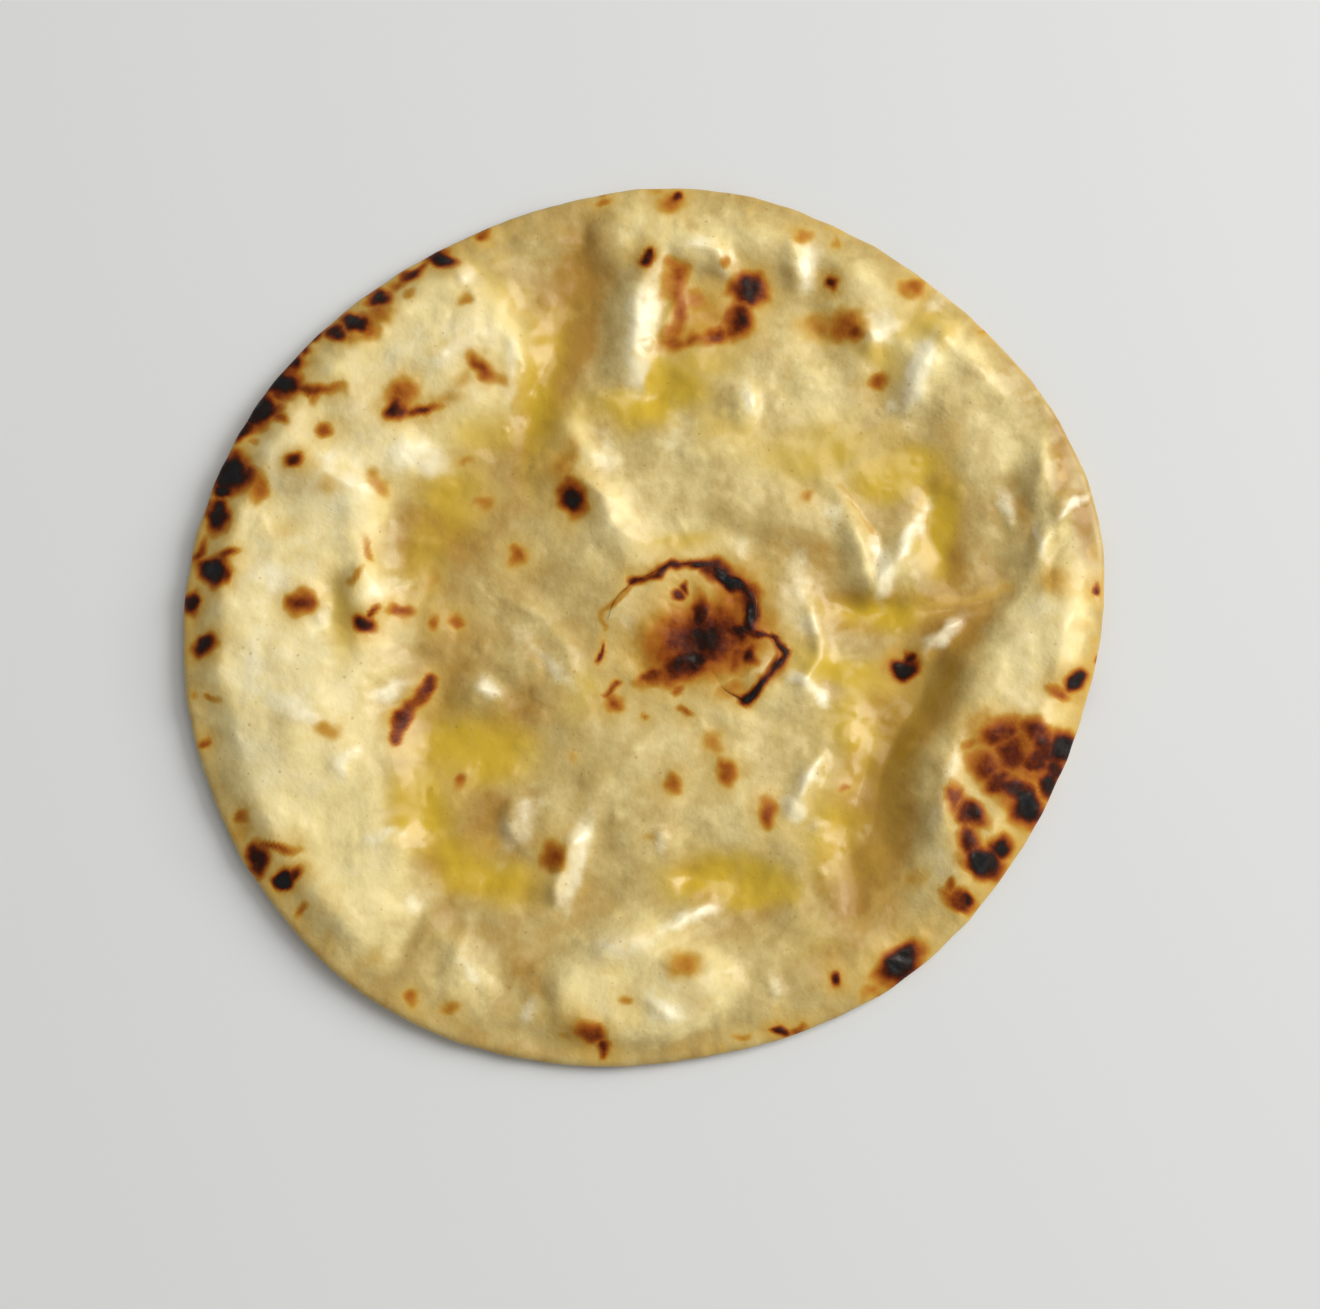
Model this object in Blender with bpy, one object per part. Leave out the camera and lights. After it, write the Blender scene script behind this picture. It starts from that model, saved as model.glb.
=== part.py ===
"""A chapati: one round, rolled flatbread with a puffed and wrinkled upper skin.

The bread is one closed body. Its underside is flat over the middle and lifts a little towards the
rim. Its upper skin is a height over the plan: a sheet of even thickness, with puffed plates on it
and the ridges and grooves where the steam went out and the skin fell back in folds.
Lengths are metres. Places on the bread are shares of its radius, +X right and +Y away.
"""

import math

import bmesh
import bpy
import numpy as np

NAME = "chapati"

# Driving dimensions
DIAMETER = 0.190
RADIUS = DIAMETER / 2
RIM_THICKNESS = 0.0028
PILLOW = 0.0010  # how much thicker the middle is than the rim
RIM_ROUND = 0.0012  # how far in from the edge the rim starts to round over
RIM_CORNER = 0.3  # share of the rim's thickness that each rounded corner takes
REST_SHARE = 0.74  # share of the radius that lies flat on the table
RIM_LIFT = 0.0014  # mean lift of the underside at the edge
RIM_WAVES = ((2, 0.00054, 0.8), (5, 0.00036, 0.0))  # waves round the edge, height, start angle
PUFF_MARGIN = 0.10  # share of the radius over which the puffed skin comes down to the rim
DEEPEST_FOLD = -1.6  # mm, so that the sheet never wears thin

CORNERS = 6
CORNER_ANGLE = math.radians(30)  # where the first corner of a six-sided circle stands
TOP_RINGS = 32
UNDER_RINGS = 16

# Radius of the rolled outline every 22.5 degrees from +X, as shares of RADIUS
OUTLINE = (
    *(1.00, 1.01, 0.98, 0.97, 0.96, 0.937, 0.95, 0.985),
    *(1.00, 1.02, 1.012, 1.012, 0.962, 0.967, 0.957, 0.965),
)

OUTLINE_WAVES = 6  # how many waves the outline is joined by

# Puffed plates: centre x, y, half length, half width, turn in degrees, height in mm, edge softness
PLATES = (
    (-0.78, 0.03, 0.22, 0.34, 0, 4.4, 0.30),
    (-0.56, 0.56, 0.34, 0.27, 40, 4.0, 0.24),
    (-0.70, -0.44, 0.26, 0.25, 0, 3.4, 0.34),
    (-0.50, -0.76, 0.22, 0.12, -35, 1.8, 0.50),
    (-0.04, -0.82, 0.20, 0.13, 4, 3.2, 0.36),
    (0.84, -0.29, 0.38, 0.23, 64, 5.2, 0.24),
    (0.94, 0.14, 0.28, 0.12, 86, 2.4, 0.50),
    (0.14, 0.87, 0.26, 0.10, 0, 2.2, 0.50),
    (0.58, 0.66, 0.22, 0.14, -36, 2.4, 0.42),
    (0.80, 0.46, 0.20, 0.16, -60, 2.2, 0.50),
    (0.10, 0.26, 0.30, 0.14, 8, 1.6, 0.60),
    (0.11, -0.02, 0.24, 0.15, -20, 1.5, 0.60),
    (0.28, -0.80, 0.26, 0.12, 14, 1.6, 0.55),
    (0.10, -0.34, 0.28, 0.20, 0, 1.5, 0.60),
    (0.30, 0.48, 0.22, 0.15, -10, 1.5, 0.60),
)

# Ridges and grooves: height in mm (grooves are negative), half width, points along the line
FOLDS = (
    (3.8, 0.056, ((0.05, 0.84), (0.02, 0.73), (-0.01, 0.62), (-0.03, 0.50))),
    (-2.2, 0.060, ((-0.10, 0.93), (-0.13, 0.80), (-0.15, 0.68), (-0.21, 0.58), (-0.24, 0.46), (-0.24, 0.33))),
    (-1.6, 0.055, ((-0.36, 0.80), (-0.29, 0.73), (-0.20, 0.66))),
    (3.0, 0.042, ((-0.18, 0.50), (-0.145, 0.40), (-0.12, 0.30), (-0.07, 0.21), (0.04, 0.15))),
    (-1.4, 0.080, ((-0.30, 0.46), (-0.41, 0.30), (-0.46, 0.14), (-0.44, 0.02))),
    (-2.4, 0.060, ((0.70, 0.00), (0.62, -0.12), (0.55, -0.24), (0.51, -0.36), (0.48, -0.48), (0.46, -0.62))),
    (2.2, 0.026, ((0.71, 0.01), (0.65, -0.05), (0.59, -0.11))),
    (2.8, 0.036, ((0.43, 0.28), (0.475, 0.17), (0.52, 0.06), (0.57, 0.16), (0.61, 0.25))),
    (-1.6, 0.040, ((0.42, 0.03), (0.52, 0.00), (0.61, 0.03))),
    (-1.6, 0.045, ((0.65, 0.34), (0.65, 0.18), (0.67, 0.08))),
    (2.4, 0.040, ((0.73, 0.67), (0.65, 0.60), (0.61, 0.53), (0.59, 0.44))),
    (2.4, 0.034, ((-0.14, -0.74), (0.00, -0.69), (0.15, -0.63))),
    (-1.6, 0.050, ((0.06, -0.55), (0.17, -0.58), (0.30, -0.57))),
    (2.4, 0.026, ((-0.13, -0.44), (-0.14, -0.55), (-0.18, -0.64))),
    (-2.0, 0.060, ((-0.40, -0.12), (-0.44, -0.27), (-0.49, -0.41), (-0.38, -0.54), (-0.24, -0.60))),
    (-2.0, 0.035, ((-0.67, 0.12), (-0.67, 0.00), (-0.63, -0.07))),
    (2.0, 0.026, ((0.38, 0.06), (0.385, -0.04), (0.36, -0.14), (0.39, -0.21))),
    (2.2, 0.026, ((0.40, -0.28), (0.36, -0.36), (0.30, -0.44))),
    (-1.2, 0.040, ((0.10, 0.56), (0.05, 0.49), (0.12, 0.42))),
    (1.4, 0.024, ((0.97, 0.28), (0.90, 0.19), (0.86, 0.11))),
    (1.4, 0.024, ((0.90, 0.44), (0.87, 0.32), (0.86, 0.22))),
    (1.4, 0.028, ((-0.30, 0.06), (-0.20, -0.03), (-0.13, -0.14))),
    (1.5, 0.026, ((-0.27, -0.39), (-0.245, -0.50))),
    (1.8, 0.026, ((0.34, 0.88), (0.355, 0.80), (0.35, 0.71))),
    (1.6, 0.028, ((0.50, 0.67), (0.53, 0.62), (0.51, 0.57))),
)
FOLD_SLIP_X, FOLD_SLIP_Y = 0.018, 0.006  # how far the folds have slipped, as shares of the radius
FOLD_TAPER = 0.3  # share of a fold's length over which each end fades out
FOLD_END = 0.25  # share of its height that a fold keeps at its ends

CRUST_COLOUR = (0.68, 0.50, 0.24, 1.0)
CRUST_ROUGHNESS = 0.55


def smooth_step(value):
    value = np.clip(value, 0, 1)
    return value * value * (3 - 2 * value)


def outline_radius(angle):
    """Radius of the edge in metres at an angle: the outline's shares joined by a sum of smooth waves."""
    shares = np.array(OUTLINE)
    places = np.arange(len(shares)) * math.tau / len(shares)
    edge = np.full(np.shape(angle), shares.mean())
    for count in range(1, OUTLINE_WAVES + 1):
        edge = edge + (shares * np.cos(count * places)).mean() * 2 * np.cos(count * angle)
        edge = edge + (shares * np.sin(count * places)).mean() * 2 * np.sin(count * angle)
    return RADIUS * edge


def hexagon_to_disc(x, y):
    """The share of the way out and the angle on a disc that a point of the unit hexagon takes."""
    sector = math.tau / CORNERS
    turn = np.arctan2(y, x) - CORNER_ANGLE
    corner = CORNER_ANGLE + np.floor(np.mod(turn, math.tau) / sector) * sector
    forward = x * np.cos(corner) + y * np.sin(corner)
    towards_next = (y * np.cos(corner) - x * np.sin(corner)) / math.sin(sector)
    share = forward + towards_next * (1 - math.cos(sector))
    along = np.divide(towards_next, share, out=np.zeros_like(share), where=share > 1e-6)
    return share, corner + along * sector


def plate_height(x, y, plate):
    """Height in mm of one puffed plate, level in the middle and soft at its edge."""
    centre_x, centre_y, length, width, turn, height, softness = plate
    cosine, sine = math.cos(math.radians(turn)), math.sin(math.radians(turn))
    u = ((x - centre_x) * cosine + (y - centre_y) * sine) / length
    v = ((y - centre_y) * cosine - (x - centre_x) * sine) / width
    return height * smooth_step((1 + softness - np.hypot(u, v)) / (2 * softness))


def fold_height(x, y, fold):
    """Height in mm of one ridge or groove, which fades towards both ends of its line."""
    height, width, points = fold
    points = np.array(points)
    steps = np.hypot(*np.diff(points, axis=0).T)
    reached = np.concatenate(([0], np.cumsum(steps)))
    nearest = np.full(x.shape, np.inf)
    place = np.zeros(x.shape)
    for start, end, begun, step in zip(points[:-1], points[1:], reached, steps):
        run = (end - start) / step
        along = np.clip((x - start[0]) * run[0] + (y - start[1]) * run[1], 0, step)
        away = np.hypot(x - start[0] - along * run[0], y - start[1] - along * run[1])
        place = np.where(away < nearest, (begun + along) / reached[-1], place)
        nearest = np.minimum(away, nearest)
    ends = smooth_step(place / FOLD_TAPER) * smooth_step((1 - place) / FOLD_TAPER)
    return height * np.exp(-((nearest / width) ** 2)) * (FOLD_END + (1 - FOLD_END) * ends)


def relief(x, y):
    """Height in metres that the puffed plates and the folds add to the sheet."""
    total = sum(plate_height(x, y, plate) for plate in PLATES)
    total = total + sum(fold_height(x + FOLD_SLIP_X, y + FOLD_SLIP_Y, fold) for fold in FOLDS)
    return np.maximum(total, DEEPEST_FOLD) / 1000


def underside_height(share, angle):
    """Height of the underside: flat over the middle, lifted in slow waves at the rim."""
    waves = sum(height * np.sin(count * angle + start) for count, height, start in RIM_WAVES)
    return (RIM_LIFT + waves) * np.clip((share - REST_SHARE) / (1 - REST_SHARE), 0, 1) ** 2


def skin(rings, upper):
    """The upper skin or the underside as an open mesh: a hexagon of triangles spread over the plan."""
    bm = bmesh.new()
    bmesh.ops.create_circle(bm, cap_ends=True, cap_tris=True, segments=CORNERS, radius=1)
    bmesh.ops.subdivide_edges(bm, edges=bm.edges[:], cuts=rings - 1, use_grid_fill=True)
    flat = np.array([vert.co[:2] for vert in bm.verts])
    ring_share, angle = hexagon_to_disc(flat[:, 0], flat[:, 1])
    edge = outline_radius(angle)
    on_edge = ring_share > 1 - 0.5 / rings
    last_inner_ring = 1 - 1 / rings
    radius = np.where(on_edge, edge, ring_share / last_inner_ring * (edge - RIM_ROUND))
    x, y = radius * np.cos(angle), radius * np.sin(angle)
    share = radius / edge
    height = underside_height(share, angle)
    corner = on_edge * RIM_CORNER * RIM_THICKNESS
    if upper:
        puff = relief(x / RADIUS, y / RADIUS) * smooth_step((1 - share) / PUFF_MARGIN)
        height = height + RIM_THICKNESS + PILLOW * (1 - share**4) + puff - corner
    else:
        height = height + corner
    for vert, place in zip(bm.verts, zip(x, y, height)):
        vert.co = place
    mesh = bpy.data.meshes.new(NAME)
    bm.to_mesh(mesh)
    bm.free()
    return mesh


def stand_on_origin(bm):
    """Centres the bread's box over the origin and sets its lowest point at height zero."""
    places = np.array([vert.co for vert in bm.verts])
    low, high = places.min(axis=0), places.max(axis=0)
    middle = (low + high) / 2
    bmesh.ops.translate(bm, verts=bm.verts, vec=(-middle[0], -middle[1], -low[2]))


def crust_material():
    material = bpy.data.materials.new("chapati_crust")
    material.use_nodes = True
    surface = material.node_tree.nodes["Principled BSDF"]
    surface.inputs["Base Color"].default_value = CRUST_COLOUR
    surface.inputs["Roughness"].default_value = CRUST_ROUGHNESS
    surface.inputs["Metallic"].default_value = 0.0
    return material


def make_bread(collection):
    """Joins the upper skin and the underside round their edges into one closed body."""
    bm = bmesh.new()
    for mesh in (skin(TOP_RINGS, upper=True), skin(UNDER_RINGS, upper=False)):
        bm.from_mesh(mesh)
        bpy.data.meshes.remove(mesh)
    bmesh.ops.bridge_loops(bm, edges=[edge for edge in bm.edges if edge.is_boundary])
    bmesh.ops.recalc_face_normals(bm, faces=bm.faces)
    stand_on_origin(bm)
    mesh = bpy.data.meshes.new(NAME)
    bm.to_mesh(mesh)
    bm.free()
    mesh.shade_smooth()
    mesh.materials.append(crust_material())
    collection.objects.link(bpy.data.objects.new(NAME, mesh))


def main():
    for old in list(bpy.data.objects):
        bpy.data.objects.remove(old, do_unlink=True)
    collection = bpy.data.collections.new("chapati_flatbread")
    bpy.context.scene.collection.children.link(collection)
    make_bread(collection)


main()
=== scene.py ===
"""Chapati: the looks of one rolled flatbread, puffed, scorched on a hot griddle and brushed with ghee.

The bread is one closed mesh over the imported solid, with the torn skin of its middle blister on it.
Lengths are metres. Places on the bread are shares of its radius, +X right and +Y away from the viewer.
"""

import math

import bpy
import numpy as np
from mathutils import Color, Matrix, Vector, noise


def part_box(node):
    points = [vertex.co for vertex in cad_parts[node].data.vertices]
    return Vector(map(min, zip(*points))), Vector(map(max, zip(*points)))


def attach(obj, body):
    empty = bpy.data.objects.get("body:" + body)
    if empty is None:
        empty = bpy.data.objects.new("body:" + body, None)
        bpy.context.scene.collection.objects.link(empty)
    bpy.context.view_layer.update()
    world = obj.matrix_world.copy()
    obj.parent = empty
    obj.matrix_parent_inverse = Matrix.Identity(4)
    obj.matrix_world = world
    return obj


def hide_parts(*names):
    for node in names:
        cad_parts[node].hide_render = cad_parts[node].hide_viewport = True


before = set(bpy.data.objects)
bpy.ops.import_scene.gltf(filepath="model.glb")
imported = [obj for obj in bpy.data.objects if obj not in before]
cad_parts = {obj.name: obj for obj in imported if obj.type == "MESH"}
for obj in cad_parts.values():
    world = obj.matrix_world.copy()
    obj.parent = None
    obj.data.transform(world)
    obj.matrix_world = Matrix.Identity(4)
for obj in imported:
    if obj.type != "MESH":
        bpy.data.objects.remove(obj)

bl_info = {
    "name": "Chapati",
    "version": (1, 0, 0),
    "blender": (4, 5, 0),
    "location": "View3D > Sidebar > Chapati",
    "description": "Models a puffed and scorched chapati with its torn blister, and a stage for it",
    "category": "Add Mesh",
}

NODE = "chapati"
BODY = "root"
SOLID_LOW, SOLID_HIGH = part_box(NODE)
BAKE_MAP = "OFBake"

CORNERS = 6
CORNER_ANGLE = math.radians(30)  # where the first corner of a six-sided circle stands

# Radius of the rolled outline every 22.5 degrees from +X, as shares of the bread's radius
OUTLINE = (
    (1.0, 1.01, 0.98, 0.97, 0.96, 0.937, 0.95, 0.985)
    + (1.0, 1.02, 1.012, 1.012, 0.962, 0.967, 0.957, 0.965)
)
OUTLINE_WAVES = 6  # how many waves the outline is joined by

# Puffed plates: centre x, y, half length, half width, turn in degrees, height in mm, edge softness
PLATES = (
    (-0.78, 0.03, 0.22, 0.34, 0, 4.4, 0.3),
    (-0.56, 0.56, 0.34, 0.27, 40, 4.0, 0.24),
    (-0.7, -0.44, 0.26, 0.25, 0, 3.4, 0.34),
    (-0.5, -0.76, 0.22, 0.12, -35, 1.8, 0.5),
    (-0.04, -0.82, 0.2, 0.13, 4, 3.2, 0.36),
    (0.84, -0.29, 0.38, 0.23, 64, 5.2, 0.24),
    (0.94, 0.14, 0.28, 0.12, 86, 2.4, 0.5),
    (0.14, 0.87, 0.26, 0.1, 0, 2.2, 0.5),
    (0.58, 0.66, 0.22, 0.14, -36, 2.4, 0.42),
    (0.8, 0.46, 0.2, 0.16, -60, 2.2, 0.5),
    (0.1, 0.26, 0.3, 0.14, 8, 1.6, 0.6),
    (0.11, -0.02, 0.24, 0.15, -20, 1.5, 0.6),
    (0.28, -0.8, 0.26, 0.12, 14, 1.6, 0.55),
    (0.1, -0.34, 0.28, 0.2, 0, 1.5, 0.6),
    (0.3, 0.48, 0.22, 0.15, -10, 1.5, 0.6),
)

# Ridges and grooves: height in mm (grooves are negative), half width, points along the line
FOLDS = (
    (3.8, 0.056, ((0.05, 0.84), (0.02, 0.73), (-0.01, 0.62), (-0.03, 0.5))),
    (-1.6, 0.06, ((-0.1, 0.93), (-0.13, 0.8), (-0.15, 0.68), (-0.21, 0.58), (-0.24, 0.46), (-0.24, 0.33))),
    (-1.6, 0.055, ((-0.36, 0.8), (-0.29, 0.73), (-0.2, 0.66))),
    (3.0, 0.042, ((-0.18, 0.5), (-0.145, 0.4), (-0.12, 0.3), (-0.07, 0.21), (0.04, 0.15))),
    (-1.4, 0.08, ((-0.3, 0.46), (-0.41, 0.3), (-0.46, 0.14), (-0.44, 0.02))),
    (-2.4, 0.06, ((0.7, 0.0), (0.62, -0.12), (0.55, -0.24), (0.51, -0.36), (0.48, -0.48), (0.46, -0.62))),
    (2.2, 0.026, ((0.71, 0.01), (0.65, -0.05), (0.59, -0.11))),
    (2.8, 0.036, ((0.43, 0.28), (0.475, 0.17), (0.52, 0.06), (0.57, 0.16), (0.61, 0.25))),
    (-1.6, 0.04, ((0.42, 0.03), (0.52, 0.0), (0.61, 0.03))),
    (-1.6, 0.045, ((0.65, 0.34), (0.65, 0.18), (0.67, 0.08))),
    (2.4, 0.04, ((0.73, 0.67), (0.65, 0.6), (0.61, 0.53), (0.59, 0.44))),
    (2.4, 0.034, ((-0.14, -0.74), (0.0, -0.69), (0.15, -0.63))),
    (-1.6, 0.05, ((0.06, -0.55), (0.17, -0.58), (0.3, -0.57))),
    (2.4, 0.026, ((-0.13, -0.44), (-0.14, -0.55), (-0.18, -0.64))),
    (-2.0, 0.06, ((-0.4, -0.12), (-0.44, -0.27), (-0.49, -0.41), (-0.38, -0.54), (-0.24, -0.6))),
    (-2.0, 0.035, ((-0.67, 0.12), (-0.67, 0.0), (-0.63, -0.07))),
    (2.0, 0.026, ((0.38, 0.06), (0.385, -0.04), (0.36, -0.14), (0.39, -0.21))),
    (2.2, 0.026, ((0.4, -0.28), (0.36, -0.36), (0.3, -0.44))),
    (-1.2, 0.04, ((0.1, 0.56), (0.05, 0.49), (0.12, 0.42))),
    (1.4, 0.024, ((0.97, 0.28), (0.9, 0.19), (0.86, 0.11))),
    (1.4, 0.024, ((0.9, 0.44), (0.87, 0.32), (0.86, 0.22))),
    (1.4, 0.028, ((-0.3, 0.06), (-0.2, -0.03), (-0.13, -0.14))),
    (1.5, 0.026, ((-0.27, -0.39), (-0.245, -0.5))),
    (1.8, 0.026, ((0.34, 0.88), (0.355, 0.8), (0.35, 0.71))),
    (1.6, 0.028, ((0.5, 0.67), (0.53, 0.62), (0.51, 0.57))),
)

# Fine creases and lips, which the solid is too coarse for, in the same form as FOLDS
CREASES = (
    (-0.5, 0.01, ((0.6, 0.01), (0.66, 0.02), (0.72, 0.045), (0.79, 0.06))),
    (-0.4, 0.009, ((0.44, 0.26), (0.47, 0.22), (0.505, 0.18))),
    (0.8, 0.018, ((0.04, 0.81), (0.1, 0.82), (0.15, 0.8), (0.185, 0.74))),
    (-0.4, 0.035, ((0.1, 0.72), (0.13, 0.66))),
    (0.6, 0.012, ((0.07, 0.77), (0.075, 0.68), (0.05, 0.61), (0.14, 0.6), (0.21, 0.62))),
    (0.5, 0.012, ((0.225, 0.5), (0.235, 0.45))),
    (0.5, 0.013, ((0.66, 0.74), (0.64, 0.68))),
    (0.6, 0.016, ((0.78, 0.26), (0.81, 0.18))),
    (0.5, 0.014, ((0.87, 0.2), (0.865, 0.12))),
    (-0.5, 0.014, ((0.82, 0.26), (0.85, 0.2), (0.83, 0.1))),
    (-0.5, 0.014, ((0.91, 0.34), (0.9, 0.24))),
    (-0.4, 0.012, ((0.94, 0.2), (0.9, 0.14), (0.89, 0.06))),
    (-0.5, 0.02, ((-0.47, -0.64), (-0.49, -0.72), (-0.55, -0.79))),
    (0.5, 0.02, ((-0.44, -0.8), (-0.4, -0.73), (-0.36, -0.68))),
    (-0.6, 0.02, ((-0.26, -0.78), (-0.21, -0.84), (-0.18, -0.9))),
    (0.6, 0.018, ((-0.66, -0.33), (-0.63, -0.38))),
    (0.7, 0.022, ((-0.72, 0.03), (-0.69, 0.0), (-0.72, -0.03))),
    (0.6, 0.02, ((-0.58, -0.19), (-0.54, -0.17))),
    (0.5, 0.016, ((-0.37, -0.15), (-0.335, -0.18))),
    (0.4, 0.014, ((0.04, -0.47), (0.045, -0.51))),
    (0.4, 0.014, ((-0.07, -0.43), (-0.065, -0.46))),
    (0.5, 0.016, ((0.27, -0.78), (0.285, -0.83))),
    (0.6, 0.02, ((0.0, -0.83), (0.06, -0.87))),
    (0.9, 0.022, ((0.66, -0.28), (0.645, -0.38), (0.62, -0.48))),
    (0.6, 0.016, ((-0.42, 0.83), (-0.4, 0.76), (-0.37, 0.71))),
    (-0.4, 0.014, ((-0.12, 0.9), (-0.13, 0.84), (-0.19, 0.8))),
    (0.5, 0.02, ((-0.3, 0.87), (-0.26, 0.84))),
    (0.8, 0.024, ((-0.3, 0.66), (-0.29, 0.57), (-0.3, 0.49))),
)

# Small soft lumps on and between the plates, in the same form as PLATES
LUMPS = (
    (-0.57, 0.36, 0.075, 0.05, -35, 1.5, 0.6),
    (-0.46, 0.6, 0.1, 0.05, 20, 1.3, 0.6),
    (-0.63, 0.5, 0.08, 0.06, 0, 1.0, 0.7),
    (-0.42, 0.45, 0.07, 0.045, 30, 1.0, 0.7),
    (-0.36, 0.66, 0.05, 0.08, -20, 1.0, 0.6),
    (-0.74, 0.3, 0.08, 0.07, 0, 1.1, 0.7),
    (-0.62, 0.2, 0.06, 0.08, 0, 1.5, 0.5),
    (-0.61, 0.05, 0.055, 0.05, 0, 1.5, 0.5),
    (-0.8, 0.0, 0.09, 0.08, 0, 1.1, 0.7),
    (-0.78, -0.15, 0.08, 0.06, 0, 0.9, 0.7),
    (-0.55, -0.13, 0.06, 0.04, -30, 1.0, 0.6),
    (-0.66, -0.35, 0.06, 0.05, 0, 1.2, 0.6),
    (-0.8, -0.4, 0.07, 0.07, 0, 0.8, 0.7),
    (-0.56, -0.52, 0.08, 0.05, 20, 1.0, 0.7),
    (-0.33, -0.03, 0.08, 0.05, -40, 0.9, 0.7),
    (-0.22, -0.12, 0.09, 0.045, -40, 0.9, 0.7),
    (-0.34, -0.18, 0.05, 0.04, 20, 1.1, 0.6),
    (-0.3, 0.2, 0.09, 0.07, 0, 0.9, 0.8),
    (-0.21, -0.46, 0.045, 0.07, -8, 1.3, 0.6),
    (-0.28, -0.62, 0.08, 0.05, 10, 0.9, 0.7),
    (-0.02, -0.55, 0.08, 0.06, 20, 0.8, 0.7),
    (0.06, -0.3, 0.08, 0.05, 0, 0.9, 0.7),
    (0.2, -0.42, 0.07, 0.06, 30, 0.9, 0.7),
    (0.34, -0.52, 0.06, 0.06, 0, 0.8, 0.7),
    (0.31, -0.14, 0.075, 0.05, -35, 1.5, 0.5),
    (0.32, 0.03, 0.06, 0.055, 0, 1.2, 0.6),
    (0.33, 0.19, 0.11, 0.05, -20, 1.0, 0.7),
    (0.1, 0.4, 0.1, 0.07, 0, 1.1, 0.7),
    (0.22, 0.47, 0.03, 0.05, 0, 1.3, 0.6),
    (0.4, 0.49, 0.1, 0.065, 20, 0.9, 0.7),
    (0.28, 0.62, 0.06, 0.05, 0, 0.8, 0.7),
    (0.13, 0.8, 0.065, 0.035, -32, 2.0, 0.5),
    (0.46, 0.78, 0.06, 0.05, 0, 0.9, 0.7),
    (0.73, 0.3, 0.06, 0.09, 10, 1.0, 0.7),
    (0.74, 0.14, 0.05, 0.06, 0, 0.9, 0.7),
    (0.78, 0.52, 0.07, 0.05, -50, 0.9, 0.7),
    (0.8, -0.1, 0.07, 0.09, -20, 0.9, 0.7),
    (0.4, -0.66, 0.09, 0.05, 10, 0.9, 0.7),
    (0.1, -0.78, 0.07, 0.05, 0, 0.9, 0.7),
    (-0.1, -0.88, 0.06, 0.04, 0, 0.8, 0.7),
    (-0.38, -0.76, 0.05, 0.06, 0, 1.0, 0.6),
    (-0.24, 0.86, 0.07, 0.05, 0, 1.4, 0.6),
    (-0.08, 0.84, 0.04, 0.06, 0, 0.9, 0.6),
)

LUMP_HEIGHT = 0.70  # how much of their listed height the lumps have
FOLD_SLIP_X, FOLD_SLIP_Y = 0.018, 0.006  # how far the folds have slipped, as shares of the radius
FOLD_SHARPNESS = 1.7  # 2 is a round crest and 1 a knife edge
FOLD_TAPER = 0.3  # share of a fold's length over which each end fades out
FOLD_END = 0.25  # share of its height that a fold keeps at its ends
DEEPEST_FOLD = -1.9  # mm

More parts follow.
